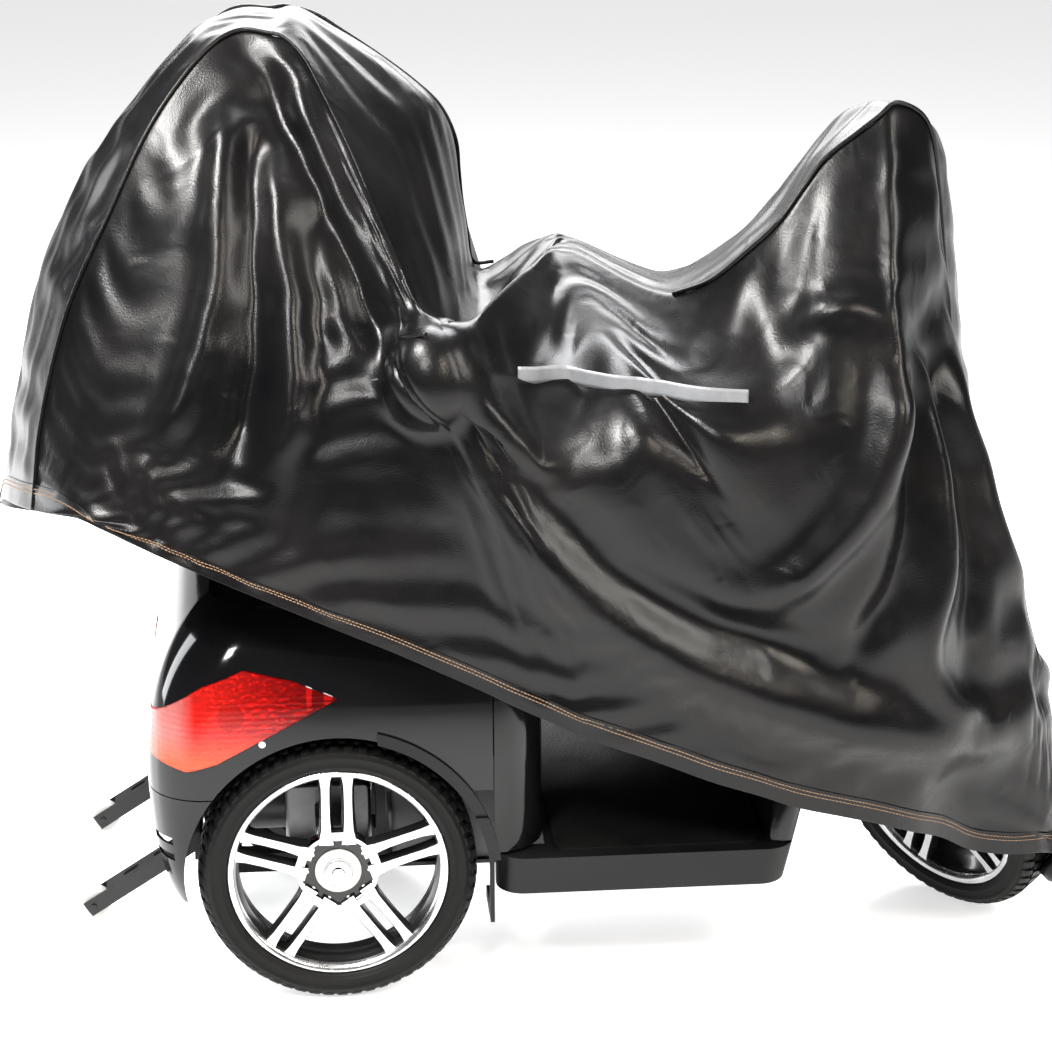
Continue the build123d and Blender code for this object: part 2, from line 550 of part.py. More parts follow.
cushion = softened(block(-182, 236, -seatHalfWidth, seatHalfWidth, panTop, cushionTopZ), 26)
cushion = cushion & block(-400, 400, -400, 400, panTop, 900)
parts["seat_cushion"] = seatFrame * cushion
backFrame = Pos(backHingeX, 0, backHingeZ) * Rot(0, -backRecline, 0) * Pos(-backHingeX, 0, -backHingeZ)
padBottom = 832.0
backPad = softened(block(-222, -136, -seatHalfWidth, seatHalfWidth, padBottom, backTopZ), 24)
strap = bothSides(block(backHingeX - 14, backHingeX + 14, earY + 1, earY + 7, backHingeZ - 14, padBottom + 60))
pins = bothSides(rodAlong((backHingeX, earY - 10, backHingeZ), (0, 1, 0), 6, 17))
armPins = bothSides(rodAlong((armPivotX, seatHalfWidth - 6, armPivotZ), (0, 1, 0), armPinRadius, 46))
armPins = armPins + bothSides(rodAlong((armPivotX, seatHalfWidth - 2, armPivotZ), (0, 1, 0), 22, 10))
backrest = backPad + strap + pins + armPins
rodY = 62.0
for side in (-1, 1):
    backrest = backrest - rodAlong((-180, side * rodY, backTopZ - 130), (0, 0, 1), headRodRadius + runClear, 200)
backrestPlaced = seatFrame * backFrame * backrest
parts["backrest"] = backrestPlaced
headPad = softened(block(-226, -142, -122, 122, backTopZ + 22, headTopZ), 26)
for side in (-1, 1):
    headPad = headPad + rodAlong((-180, side * rodY, backTopZ - 110), (0, 0, 1), headRodRadius, 150)
parts["headrest"] = seatFrame * backFrame * headPad
armLevel = backRecline - armRise
armTilt = Pos(armPivotX, 0, armPivotZ) * Rot(0, armLevel, 0) * Pos(-armPivotX, 0, -armPivotZ)
armHubY = seatHalfWidth + 9.0
armOut = seatHalfWidth + 65.0
for side, name in ((-1, "right"), (1, "left")):
    hub = rodAlong((armPivotX, armHubY, armPivotZ), (0, 1, 0), 19, 26)
    tube = rodBetween((armPivotX, armHubY + 14, armPivotZ), (120, armHubY + 14, armPivotZ), 9)
    link = rodBetween((armPivotX, armHubY + 14, armPivotZ), (armPivotX + 50, armOut, armPivotZ + 6), 9)
    pad = softened(block(-130, 150, armOut - 28, armOut + 28, armPivotZ + 4, armPivotZ + 44), 14)
    arm = hub + tube + link + pad - rodAlong((armPivotX, seatHalfWidth - 25, armPivotZ), (0, 1, 0), armPinRadius + runClear, 160)
    arm = arm if side > 0 else mirror(arm, about=Plane.XZ)
    parts[f"armrest_{name}"] = seatFrame * backFrame * armTilt * arm

# ---------------------------------------------------------------- the fitted storm cover, as worn
# Each row: x, then (y, z) of near hem, near waist, near top, far top, far waist, far hem.
coverRows = (
    (-500, (-120, 700), (-118, 740), (-110, 790), (180, 780), (205, 740), (215, 640)),
    (-430, (-262, 772), (-258, 830), (-215, 980), (190, 985), (262, 860), (275, 660)),
    (-300, (-352, 772), (-338, 870), (-235, 1180), (225, 1190), (320, 900), (340, 650)),
    (-170, (-368, 716), (-348, 880), (-175, 1390), (235, 1398), (350, 930), (368, 620)),
    (-60, (-376, 665), (-362, 900), (-190, 1400), (285, 1400), (372, 960), (380, 580)),
    (80, (-384, 602), (-378, 930), (-250, 1285), (345, 1330), (388, 980), (388, 540)),
    (190, (-386, 546), (-386, 960), (-330, 1065), (352, 1240), (392, 990), (392, 500)),
    (300, (-386, 490), (-380, 900), (-300, 1055), (330, 1080), (388, 960), (392, 460)),
    (410, (-384, 438), (-372, 860), (-330, 1050), (300, 1068), (380, 900), (390, 420)),
    (520, (-380, 388), (-376, 860), (-330, 1060), (250, 1090), (360, 880), (384, 380)),
    (620, (-374, 350), (-384, 880), (-340, 1120), (230, 1150), (340, 880), (374, 345)),
    (720, (-364, 316), (-390, 900), (-330, 1230), (230, 1240), (320, 880), (362, 312)),
    (820, (-346, 286), (-388, 880), (-330, 1336), (200, 1336), (300, 860), (344, 284)),
    (910, (-316, 246), (-360, 820), (-250, 1318), (170, 1318), (280, 800), (314, 250)),
    (1000, (-270, 196), (-300, 720), (-150, 1180), (140, 1190), (250, 740), (270, 212)),
    (1125, (-150, 140), (-150, 400), (-80, 640), (80, 650), (150, 420), (160, 160)),
)


def coverHull(wall, drop):
    rows = []
    last = len(coverRows) - 1
    for n, (x, hemNear, waistNear, topNear, topFar, waistFar, hemFar) in enumerate(coverRows):
        shift = wall if n == 0 else (-wall if n == last else 0)
        outline = [
            (x + shift, hemNear[0] + wall, hemNear[1] - drop),
            (x + shift, waistNear[0] + wall, waistNear[1]),
            (x + shift, topNear[0] + wall, topNear[1] - wall),
            (x + shift, topFar[0] - wall, topFar[1] - wall),
            (x + shift, waistFar[0] - wall, waistFar[1]),
            (x + shift, hemFar[0] - wall, hemFar[1] - drop),
        ]
        rows.append(make_face(Polyline(outline, close=True)))
    return loft(rows, ruled=True)


cover = coverHull(0, 0) - coverHull(coverWall, 30)
parts["cover"] = cover.solids().sort_by(SortBy.VOLUME)[-1]

# ---------------------------------------------------------------- write out about the bottom centre
boxes = [shape.bounding_box() for shape in parts.values()]
midX = (min(b.min.X for b in boxes) + max(b.max.X for b in boxes)) / 2
midY = (min(b.min.Y for b in boxes) + max(b.max.Y for b in boxes)) / 2
lowZ = min(b.min.Z for b in boxes)
print("moved by", round(-midX, 3), round(-midY, 3), round(-lowZ, 3))
for node, shape in parts.items():
    export_step(Pos(-midX, -midY, -lowZ) * shape, f"parts/{node}.step")
print(len(parts), "nodes")
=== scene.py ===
import json
import math

import bpy
import numpy as np
from mathutils import Matrix, Vector
from mathutils.bvhtree import BVHTree
from mathutils.kdtree import KDTree


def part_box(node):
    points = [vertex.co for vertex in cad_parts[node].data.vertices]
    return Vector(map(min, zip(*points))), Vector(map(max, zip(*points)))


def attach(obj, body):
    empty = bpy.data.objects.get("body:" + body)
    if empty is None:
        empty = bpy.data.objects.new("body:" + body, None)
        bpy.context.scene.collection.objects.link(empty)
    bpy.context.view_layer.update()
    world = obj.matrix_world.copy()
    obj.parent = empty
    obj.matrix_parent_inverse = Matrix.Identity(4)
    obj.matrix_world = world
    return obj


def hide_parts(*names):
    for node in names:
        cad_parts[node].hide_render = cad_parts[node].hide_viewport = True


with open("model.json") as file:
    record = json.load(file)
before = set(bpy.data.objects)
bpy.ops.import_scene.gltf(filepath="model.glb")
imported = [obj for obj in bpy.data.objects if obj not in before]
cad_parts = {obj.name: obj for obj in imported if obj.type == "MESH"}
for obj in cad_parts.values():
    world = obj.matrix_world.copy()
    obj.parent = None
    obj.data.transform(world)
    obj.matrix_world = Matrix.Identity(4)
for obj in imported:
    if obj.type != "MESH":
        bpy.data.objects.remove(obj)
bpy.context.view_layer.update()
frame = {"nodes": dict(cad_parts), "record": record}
nodes = frame["nodes"]
print("frame loaded:", len(nodes), "nodes")

# the maker's own origin: rear axle line at x 0, centre plane at y 0, floor at z 0, in millimetres
lowTyre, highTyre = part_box("rear_tyre_right")
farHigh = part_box("rear_tyre_left")[1]
originX = (lowTyre.x + highTyre.x) / 2
originY = (lowTyre.y + farHigh.y) / 2
mm = 0.001
shop = Matrix.Translation((originX, originY, 0)) @ Matrix.Scale(mm, 4)


def turn(degrees, axis):
    return Matrix.Rotation(math.radians(degrees), 4, axis)


def shift(x, y, z):
    return Matrix.Translation((x, y, z))


# where the steering, seat, backrest and armrests sit, in the maker's frame
steering = {"x": 940, "z": 197.6, "rake": 22, "turn": 55.7, "forkOffset": 20}
seating = {"x": 150, "turn": 20.8, "hinge": (-212, 0, 720), "recline": 8, "armRise": 14,
           "armPivot": (-175, 0, 876)}
steerFrame = (
    shift(steering["x"], 0, steering["z"]) @ turn(-steering["rake"], "Y") @ turn(-steering["turn"], "Z")
)
seatFrame = shift(seating["x"], 0, 0) @ turn(-seating["turn"], "Z")


def about(point, angle):
    return shift(*point) @ turn(angle, "Y") @ shift(-point[0], -point[1], -point[2])


backFrame = seatFrame @ about(seating["hinge"], -seating["recline"])
armFrame = backFrame @ about(seating["armPivot"], seating["recline"] - seating["armRise"])


def newFinish(name):
    finish = bpy.data.materials.new(name)
    finish.use_nodes = True
    return finish, finish.node_tree.nodes, finish.node_tree.links, finish.node_tree.nodes["Principled BSDF"]


def patternNode(tree, links, kind, stretch=(1, 1, 1), **values):
    # a procedural pattern in the object's own space, stretched if asked
    coords = tree.new("ShaderNodeTexCoord")
    mapping = tree.new("ShaderNodeMapping")
    mapping.inputs["Scale"].default_value = stretch
    pattern = tree.new(kind)
    for key, value in values.items():
        pattern.inputs[key].default_value = value
    links.new(coords.outputs["Object"], mapping.inputs["Vector"])
    links.new(mapping.outputs["Vector"], pattern.inputs["Vector"])
    return pattern


def noiseNode(tree, links, scale, detail=4.0, roughness=0.55, stretch=(1, 1, 1)):
    return patternNode(tree, links, "ShaderNodeTexNoise", stretch, Scale=scale, Detail=detail,
                       Roughness=roughness)


def cellNode(tree, links, scale, stretch=(1, 1, 1)):
    return patternNode(tree, links, "ShaderNodeTexVoronoi", stretch, Scale=scale)


def waveNode(tree, links, coords, scale, direction):
    wave = tree.new("ShaderNodeTexWave")
    wave.bands_direction = direction
    wave.inputs["Scale"].default_value = scale
    links.new(coords.outputs["Object"], wave.inputs["Vector"])
    return wave


def setInputs(shader, **values):
    # an underscore in a key stands for the space in the socket's name
    for key, value in values.items():
        shader.inputs[key.replace("_", " ")].default_value = value


def ramped(tree, links, source, stops):
    ramp = tree.new("ShaderNodeValToRGB")
    while len(ramp.color_ramp.elements) < len(stops):
        ramp.color_ramp.elements.new(0.5)
    for element, (at, colour) in zip(ramp.color_ramp.elements, stops):
        element.position = at
        element.color = (*colour, 1.0)
    links.new(source, ramp.inputs["Fac"])
    return ramp.outputs["Color"]


def ranged(tree, links, source, low, high, fromLow=0.3, fromHigh=0.7):
    span = tree.new("ShaderNodeMapRange")
    span.inputs["From Min"].default_value = fromLow
    span.inputs["From Max"].default_value = fromHigh
    span.inputs["To Min"].default_value = low
    span.inputs["To Max"].default_value = high
    links.new(source, span.inputs["Value"])
    return span.outputs["Result"]


def bumped(tree, links, source, strength, distance, previous=None):
    bump = tree.new("ShaderNodeBump")
    bump.inputs["Strength"].default_value = strength
    bump.inputs["Distance"].default_value = distance
    links.new(source, bump.inputs["Height"])
    if previous is not None:
        links.new(previous, bump.inputs["Normal"])
    return bump.outputs["Normal"]


def moulded(name, dark, light, rough, metallic=0.0, coat=0.0, grain=900, depth=0.00012, cloud=14,
            specular=0.5, cells=False, stretch=(1, 1, 1)):
    finish, tree, links, shader = newFinish(name)
    wide = noiseNode(tree, links, cloud, stretch=stretch)
    shade = ramped(tree, links, wide.outputs["Fac"], ((0.3, dark), (0.7, light)))
    links.new(shade, shader.inputs["Base Color"])
    links.new(ranged(tree, links, wide.outputs["Fac"], rough[0], rough[1]), shader.inputs["Roughness"])
    if cells:
        height = cellNode(tree, links, grain, stretch=stretch).outputs["Distance"]
    else:
        height = noiseNode(tree, links, grain, stretch=stretch).outputs["Fac"]
    links.new(bumped(tree, links, height, 0.6, depth), shader.inputs["Normal"])
    setInputs(shader, Metallic=metallic, Coat_Weight=coat, Coat_Roughness=0.04, Specular_IOR_Level=specular)
    return finish


finishes = {
    "frame_paint": moulded("framePaint", (0.007, 0.007, 0.008), (0.013, 0.013, 0.014), (0.32, 0.44),
        grain=500, specular=0.3),
    "body_gloss": moulded("pianoBlack", (0.0035, 0.0035, 0.004), (0.006, 0.006, 0.0066), (0.08, 0.13),
        coat=0.15, grain=120, depth=0.00001, cloud=5, specular=0.22),
    "trim_matte": moulded("satinTrim", (0.005, 0.005, 0.0055), (0.009, 0.009, 0.0095), (0.4, 0.5),
        grain=1400, depth=0.00008, cells=True, specular=0.22),
    "tyre": moulded("tyreRubber", (0.0035, 0.0035, 0.0035), (0.007, 0.007, 0.007), (0.48, 0.64),
        grain=700, depth=0.00015, specular=0.14),
    "chrome": moulded("polishedChrome", (0.78, 0.78, 0.8), (0.86, 0.86, 0.87), (0.05, 0.1), metallic=1.0,
        grain=300, depth=0.00001),
    "steel": moulded("brushedSteel", (0.42, 0.42, 0.43), (0.6, 0.6, 0.61), (0.24, 0.36), metallic=1.0,
        grain=900, stretch=(1, 0.08, 1)),
    "cast": moulded("castMetal", (0.22, 0.22, 0.23), (0.4, 0.4, 0.41), (0.42, 0.58), metallic=1.0,
        grain=650, depth=0.0003),
    "motor_black": moulded("motorPaint", (0.02, 0.02, 0.021), (0.045, 0.045, 0.047), (0.35, 0.5),
        grain=500),
    "battery_case": moulded("batteryCase", (0.035, 0.035, 0.04), (0.06, 0.06, 0.066), (0.4, 0.5),
        grain=1100, cells=True),
    "mat_rubber": moulded("pebbledMat", (0.004, 0.004, 0.004), (0.008, 0.008, 0.008), (0.5, 0.62),
        grain=260, depth=0.0012, cells=True, specular=0.25),
    "grip_rubber": moulded("gripRubber", (0.012, 0.012, 0.012), (0.022, 0.022, 0.022), (0.55, 0.7),
        grain=420, depth=0.0005, cells=True),
    "white_wheel": moulded("whitePolyurethane", (0.42, 0.42, 0.41), (0.55, 0.55, 0.54), (0.35, 0.5),
        grain=500),
    "red_plastic": moulded("redPlastic", (0.45, 0.012, 0.01), (0.58, 0.02, 0.015), (0.25, 0.35),
        grain=500),
    "mirror": moulded("mirrorGlass", (0.88, 0.88, 0.89), (0.93, 0.93, 0.94), (0.015, 0.03), metallic=1.0,
        grain=40, depth=0.000002),
}


def makeRimFinish():
    finish, tree, links, shader = newFinish("machinedAlloy")
    wide = noiseNode(tree, links, 30)
    shade = ramped(tree, links, wide.outputs["Fac"], ((0.3, (0.62, 0.63, 0.64)), (0.7, (0.8, 0.8, 0.81))))
    links.new(shade, shader.inputs["Base Color"])
    links.new(ranged(tree, links, wide.outputs["Fac"], 0.2, 0.3), shader.inputs["Roughness"])
    lathe = noiseNode(tree, links, 1600, detail=2)
    links.new(bumped(tree, links, lathe.outputs["Fac"], 0.3, 0.00004), shader.inputs["Normal"])
    setInputs(shader, Metallic=1.0, Coat_Weight=0.4)
    return finish


def makeLensFinish():
    finish, tree, links, shader = newFinish("clearLens")
    fluted = waveNode(tree, links, tree.new("ShaderNodeTexCoord"), 60, "Z")
    wide = noiseNode(tree, links, 12)
    shade = ramped(tree, links, wide.outputs["Fac"], ((0.3, (0.85, 0.87, 0.9)), (0.75, (0.95, 0.96, 0.97))))
    links.new(shade, shader.inputs["Base Color"])
    links.new(ranged(tree, links, wide.outputs["Fac"], 0.02, 0.07), shader.inputs["Roughness"])
    links.new(bumped(tree, links, fluted.outputs["Fac"], 0.25, 0.0004), shader.inputs["Normal"])
    setInputs(shader, Transmission_Weight=0.82, IOR=1.3, Coat_Weight=0.6)
    return finish


# along: the span over which the painted rear highlight fades into the painted darker red; foot: the height
# band of the orange
lampZones = {"along": (-0.60, -0.30), "foot": (0.395, 0.44), "flutes": 38, "pillars": 44}


def makeLampFinish():
    # a painted highlight in pink, a little frosted, at the rear, red in the middle, painted shade deepening
    # to dark red forward, orange along the foot
    finish, tree, links, shader = newFinish("redLens")
    coords = tree.new("ShaderNodeTexCoord")
    split = tree.new("ShaderNodeSeparateXYZ")
    links.new(coords.outputs["Object"], split.inputs[0])
    # how far along the lamp, rear to front, the painted highlight has faded into painted shade
    highlightAlong = ranged(tree, links, split.outputs["X"], 0, 1, *lampZones["along"])
    shade = ramped(tree, links, highlightAlong, ((0.0, (0.85, 0.36, 0.34)), (0.2, (0.8, 0.3, 0.28)),
                                        (0.29, (0.85, 0.03, 0.02)), (0.62, (0.55, 0.012, 0.01)),
                                        (0.85, (0.28, 0.004, 0.004))))
    foot = ranged(tree, links, split.outputs["Z"], 1, 0, *lampZones["foot"])
    warm = tree.new("ShaderNodeMix")
    warm.data_type = "RGBA"
    links.new(foot, warm.inputs["Factor"])
    links.new(shade, warm.inputs["A"])
    warm.inputs["B"].default_value = (0.9, 0.12, 0.02, 1)
    links.new(warm.outputs["Result"], shader.inputs["Base Color"])
    flutes = waveNode(tree, links, coords, lampZones["flutes"], "Z")
    pillars = waveNode(tree, links, coords, lampZones["pillars"], "X")
    normal = bumped(tree, links, flutes.outputs["Fac"], 0.3, 0.0006)
    links.new(bumped(tree, links, pillars.outputs["Fac"], 0.2, 0.0005, normal), shader.inputs["Normal"])
    links.new(ranged(tree, links, highlightAlong, 0.16, 0.03, 0.1, 0.35), shader.inputs["Roughness"])
    setInputs(shader, Transmission_Weight=0.7, IOR=1.25, Coat_Weight=0.5, Coat_Roughness=0.02)
    return finish


def makeReflectorFinish():
    finish, tree, links, shader = newFinish("lampReflector")
    pleats = cellNode(tree, links, 130)
    shade = ramped(tree, links, pleats.outputs["Distance"],
                   ((0.0, (0.95, 0.5, 0.42)), (0.6, (0.8, 0.22, 0.16))))
    links.new(shade, shader.inputs["Base Color"])
    links.new(bumped(tree, links, pleats.outputs["Distance"], 0.8, 0.002), shader.inputs["Normal"])
    links.new(ranged(tree, links, pleats.outputs["Distance"], 0.12, 0.26, 0, 1), shader.inputs["Roughness"])
    shader.inputs["Metallic"].default_value = 0.9
    return finish


def makeVinylFinish(name, dark, light, rough, pebble, pebbleDepth, creaseDepth, specular):
    finish, tree, links, shader = newFinish(name)
    wide = noiseNode(tree, links, 5, detail=6, roughness=0.6)
    shade = ramped(tree, links, wide.outputs["Fac"], ((0.32, dark), (0.7, light)))
    links.new(shade, shader.inputs["Base Color"])
    links.new(ranged(tree, links, wide.outputs["Fac"], rough[0], rough[1]), shader.inputs["Roughness"])
    hide = cellNode(tree, links, pebble)
    normal = bumped(tree, links, hide.outputs["Distance"], 0.5, pebbleDepth)
    crumple = patternNode(tree, links, "ShaderNodeTexNoise", Scale=16, Detail=4, Distortion=1.2)
    crumple.noise_type = "RIDGED_MULTIFRACTAL"
    normal = bumped(tree, links, crumple.outputs["Fac"], 0.35, creaseDepth, normal)
    links.new(normal, shader.inputs["Normal"])
    shader.inputs["Specular IOR Level"].default_value = specular
    return finish


finishes["rim_alloy"] = makeRimFinish()
finishes["clear"] = makeLensFinish()
finishes["lamp_lens"] = makeLampFinish()
finishes["lamp_bowl"] = makeReflectorFinish()
finishes["cover_vinyl"] = makeVinylFinish("coverVinyl", (0.0022, 0.0022, 0.0026), (0.0055, 0.005, 0.005),
                                          (0.2, 0.33), 420, 0.0003, 0.0028, 0.2)
finishes["vinyl"] = makeVinylFinish("seatVinyl", (0.018, 0.018, 0.019), (0.034, 0.034, 0.035),
                                    (0.38, 0.5), 600, 0.00025, 0.0004, 0.45)


def finishNodes():
    # every carried-over node takes the procedural finish of its slot
    slotOf = {}
    for row in frame["record"].get("subparts", []):
        slotOf[row["node"]] = row.get("material_slot") or row.get("material")
    for name, node in nodes.items():
        slot = slotOf.get(name)
        if slot not in finishes:
            imported = [m.name for m in node.data.materials if m]
            slot = next((s for s in finishes for m in imported if m.startswith(s)), "trim_matte")
        node.data.materials.clear()
        node.data.materials.append(finishes[slot])


finishNodes()
print("finishes ready:", len(finishes))


studio = {
    "lens": 99.04, "azimuth": -5.304, "pitch": 19.2, "cameraAt": (-0.3934, -4.0918, 2.0831),
    "floorSize": 60.0, "worldStrength": 0.1, "floorGlow": 0.66,
}


def setStudio():
    azimuth, pitch = math.radians(studio["azimuth"]), math.radians(studio["pitch"])
    level = math.cos(pitch)
    back = Vector((math.sin(azimuth) * level, -math.cos(azimuth) * level, math.sin(pitch)))
    data = bpy.data.cameras.new("studioCamera")
    data.lens = studio["lens"]
    data.sensor_width = 36
    data.clip_end = 200
    camera = bpy.data.objects.new("studioCamera", data)
    camera.location = studio["cameraAt"]
    camera.rotation_euler = back.to_track_quat("Z", "Y").to_euler()
    bpy.context.scene.collection.objects.link(camera)
    bpy.context.scene.camera = camera

    world = bpy.data.worlds.new("studioWorld")
    world.use_nodes = True
    world.node_tree.nodes["Background"].inputs[0].default_value = (0.95, 0.97, 1.0, 1)
    world.node_tree.nodes["Background"].inputs[1].default_value = studio["worldStrength"]
    bpy.context.scene.world = world
    bpy.context.scene.view_settings.view_transform = "Standard"

    # softboxes: x, y, z of the lamp, what it looks at, width, height, power, colour
    boxes = (
        ("keySoftbox", (-1.6, -1.2, 3.4), (0.0, 0.0, 0.6), 0.9, 0.6, 230, (1, 0.985, 0.96)),
        ("rearStrip", (-3.2, 1.0, 1.6), (-0.4, 0.0, 0.6), 0.8, 2.4, 85, (0.96, 0.98, 1)),
        ("frontStrip", (2.6, -1.5, 2.4), (0.4, 0.0, 0.8), 0.7, 1.8, 75, (1, 0.96, 0.9)),
        ("overheadFront", (-1.5, -3.3, 3.7), (0.0, 0.0, 0.9), 0.8, 0.6, 150, (1, 0.99, 0.97)),
        ("warmFront", (1.5, -3.0, 3.0), (0.3, 0.0, 0.8), 0.5, 0.9, 60, (1, 0.9, 0.78)),
        ("topSoftbox", (0.4, 1.2, 3.8), (0.0, 0.2, 0.6), 2.0, 1.0, 260, (0.97, 0.98, 1)),
        ("backSoftbox", (0.0, 3.6, 2.4), (0.0, 0.0, 0.5), 3.4, 1.6, 120, (1, 1, 1)),
    )
    for name, at, aim, width, height, power, colour in boxes:
        light = bpy.data.lights.new(name, "AREA")
        light.shape = "RECTANGLE"
        light.size = width
        light.size_y = height
        light.energy = power
        light.color = colour
        lamp = bpy.data.objects.new(name, light)
        lamp.location = at
        lamp.rotation_euler = (Vector(at) - Vector(aim)).to_track_quat("Z", "Y").to_euler()
        bpy.context.scene.collection.objects.link(lamp)

    half = studio["floorSize"] / 2
    mesh = bpy.data.meshes.new("studioFloor")
    corners = [(-half, -half, 0), (half, -half, 0), (half, half, 0), (-half, half, 0)]
    mesh.from_pydata(corners, [], [(0, 1, 2, 3)])
    floor = bpy.data.objects.new("studioFloor", mesh)
    bpy.context.scene.collection.objects.link(floor)
    paint, tree, links, shader = newFinish("floorPaint")
    wide = noiseNode(tree, links, 3)
    links.new(ramped(tree, links, wide.outputs["Fac"], ((0.3, (0.9, 0.9, 0.9)), (0.7, (0.92, 0.92, 0.92)))),
              shader.inputs["Base Color"])
    shader.inputs["Roughness"].default_value = 0.28
    shader.inputs["Specular IOR Level"].default_value = 0.25
    shader.inputs["Emission Color"].default_value = (1, 1, 1, 1)
    shader.inputs["Emission Strength"].default_value = studio["floorGlow"]
    mesh.materials.append(paint)


setStudio()
print("studio ready")


def meshPiece(name, vertices, faces, body, slot, smooth=True, matrix=None, finish=None):
    mesh = bpy.data.meshes.new(name)
    mesh.from_pydata([tuple(v) for v in vertices], [], faces)
    mesh.update()
    if matrix is not None:
        mesh.transform(shop @ matrix)
        if matrix.determinant() < 0:
            mesh.flip_normals()
    mesh.polygons.foreach_set("use_smooth", [smooth] * len(mesh.polygons))
    mesh.materials.append(finish or finishes[slot])
    piece = bpy.data.objects.new(name, mesh)
    bpy.context.scene.collection.objects.link(piece)
    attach(piece, body)
    return piece


def addModifier(piece, kind, **settings):
    modifier = piece.modifiers.new(kind.lower(), kind)
    for key, value in settings.items():
        setattr(modifier, key, value)
    return modifier


def applyModifiers(piece):
    graph = bpy.context.evaluated_depsgraph_get()
    done = bpy.data.meshes.new_from_object(piece.evaluated_get(graph), depsgraph=graph)
    piece.modifiers.clear()
    piece.data = done


def between(a, b, c, d, t):
    # the smooth curve from b to c, with a before it and d after it
    return 0.5 * (2 * b + (c - a) * t + (2 * a - 5 * b + 4 * c - d) * t * t
                  + (3 * b - a - 3 * c + d) * t ** 3)


def runLengths(line):
    return np.concatenate([[0], np.cumsum(np.linalg.norm(np.diff(line, axis=0), axis=1))])


def alongRun(at, along, line):
    return np.stack([np.interp(at, along, line[:, i]) for i in range(3)], -1)


def throughPoints(points, count):
    # a smooth run through the points, at even spacing
    p = np.array(points, float)
    if len(p) == 2:
        t = np.linspace(0, 1, count)[:, None]
        return p[0] * (1 - t) + p[1] * t
    padded = np.vstack([2 * p[0] - p[1], p, 2 * p[-1] - p[-2]])
    dense = []
    for k in range(1, len(padded) - 2):
        a, b, c, d = padded[k - 1:k + 3]
        dense += [between(a, b, c, d, t) for t in np.linspace(0, 1, 16, endpoint=False)]
    dense = np.array(dense + [p[-1]])
    along = runLengths(dense)
    return alongRun(np.linspace(0, along[-1], count), along, dense)


wheelShape = {
    "radius": 205, "trackHalf": 215, "segments": 128, "blocks": 60, "slant": 0.012, "spokes": 5,
    "pairHalf": 16.5, "faceY": -30, "dish": 3.5, "studs": 10, "studCircle": 45.5,
}


def spinProfile(profile, segments, close=True):
    # points (radius, y) turned about the wheel's own axis
    vertices, faces = [], []
    count = len(profile)
    for s in range(segments):
        angle = 2 * math.pi * s / segments
        for radius, y in profile:
            vertices.append((radius * math.cos(angle), y, radius * math.sin(angle)))
    last = count if close else count - 1
    for s in range(segments):
        for k in range(last):
            a, b = s * count + k, s * count + (k + 1) % count
            c, d = ((s + 1) % segments) * count + (k + 1) % count, ((s + 1) % segments) * count + k
            faces.append((a, b, c, d))
    return vertices, faces


def joinParts(parts):
    # one mesh from many; each part is its points, its faces and the number of its finish
    vertices, faces, marks = [], [], []
    for more, cells, mark in parts:
        start = len(vertices)
        vertices += list(more)
        faces += [tuple(start + i for i in f) for f in cells]
        marks += [mark] * len(cells)
    return vertices, faces, marks


def treadBlock(angle, width, yIn, yOut, side):
    # one rubber block: its top follows the tyre's crown, its foot sinks into the carcass
    vertices = []
    for y in [yIn + (yOut - yIn) * k / 3 for k in range(4)]:
        top = float(np.interp(y, (0, 20, 33, 40), (205, 205, 201, 194)))
        lean = wheelShape["slant"] * (y - yIn) / 8
        for sign, radius in ((-1, top - 6.5), (-1, top - 0.8), (-0.88, top), (0.88, top), (1, top - 0.8),
                             (1, top - 6.5)):
            a = angle + sign * width / 2 + lean
            vertices.append((radius * math.cos(a), side * y, radius * math.sin(a)))
    faces = []
    for s in range(3):
        for k in range(6):
            a, b = s * 6 + k, s * 6 + (k + 1) % 6
            faces.append((a, b, b + 6, a + 6))
    faces.append(tuple(range(6)))
    faces.append(tuple(range(18, 24)))
    return vertices, faces


def makeTyreMesh():
    wall = [(162.4, 30.5), (163.5, 35), (166, 37.6), (170, 39.2), (171, 40.3), (173, 40.4), (174, 39.9),
            (180, 41), (184, 41.1), (185, 41.9), (187.5, 41.9), (188.5, 40.8), (191, 40.2), (195, 37.6),
            (198, 32.5), (200.6, 20), (201, 8)]
    profile = wall + [(r, -y) for r, y in reversed(wall)] + [(155, -29), (155, 29)]
    parts = [(*spinProfile(profile, wheelShape["segments"]), 0)]
    pitch = 2 * math.pi / wheelShape["blocks"]
    for n in range(wheelShape["blocks"]):
        for side in (-1, 1):
            stagger = 0.5 * pitch if side > 0 else 0
            at = n * pitch + stagger
            parts.append((*treadBlock(at, pitch * 0.62, 24, 39.5, side), 0))
            parts.append((*treadBlock(at + pitch * 0.45, pitch * 0.7, 12.5, 21.5, side), 0))
            parts.append((*treadBlock(at + pitch * 0.1, pitch * 0.74, 1.4, 10.5, side), 0))
    return joinParts(parts)


def spokeBar(turnAngle, offset):
    stations = ((44, 11.5, 0), (56, 10.2, 0), (66, 8.0, 0.4), (84, 6.9, 1), (110, 6.6, 1), (134, 7.0, 0.7),
                (146, 8.4, 0.3), (154, 10.6, 0))
    vertices, faces, marks = [], [], []
    c, s = math.cos(turnAngle), math.sin(turnAngle)
    for radius, half, dip in stations:
        face = wheelShape["faceY"] + wheelShape["dish"] * dip
        for w, y in ((-half - 2.5, -8), (-half - 0.6, face + 2.2), (-half + 1.0, face), (half - 1.0, face),
                     (half + 0.6, face + 2.2), (half + 2.5, -8)):
            across = offset + w
            vertices.append((radius * c - across * s, y, radius * s + across * c))
    for k in range(len(stations) - 1):
        for n in range(6):
            a, b = k * 6 + n, k * 6 + (n + 1) % 6
            faces.append((a, b, b + 6, a + 6))
            marks.append(0 if n == 2 else 1)
    return vertices, faces, marks


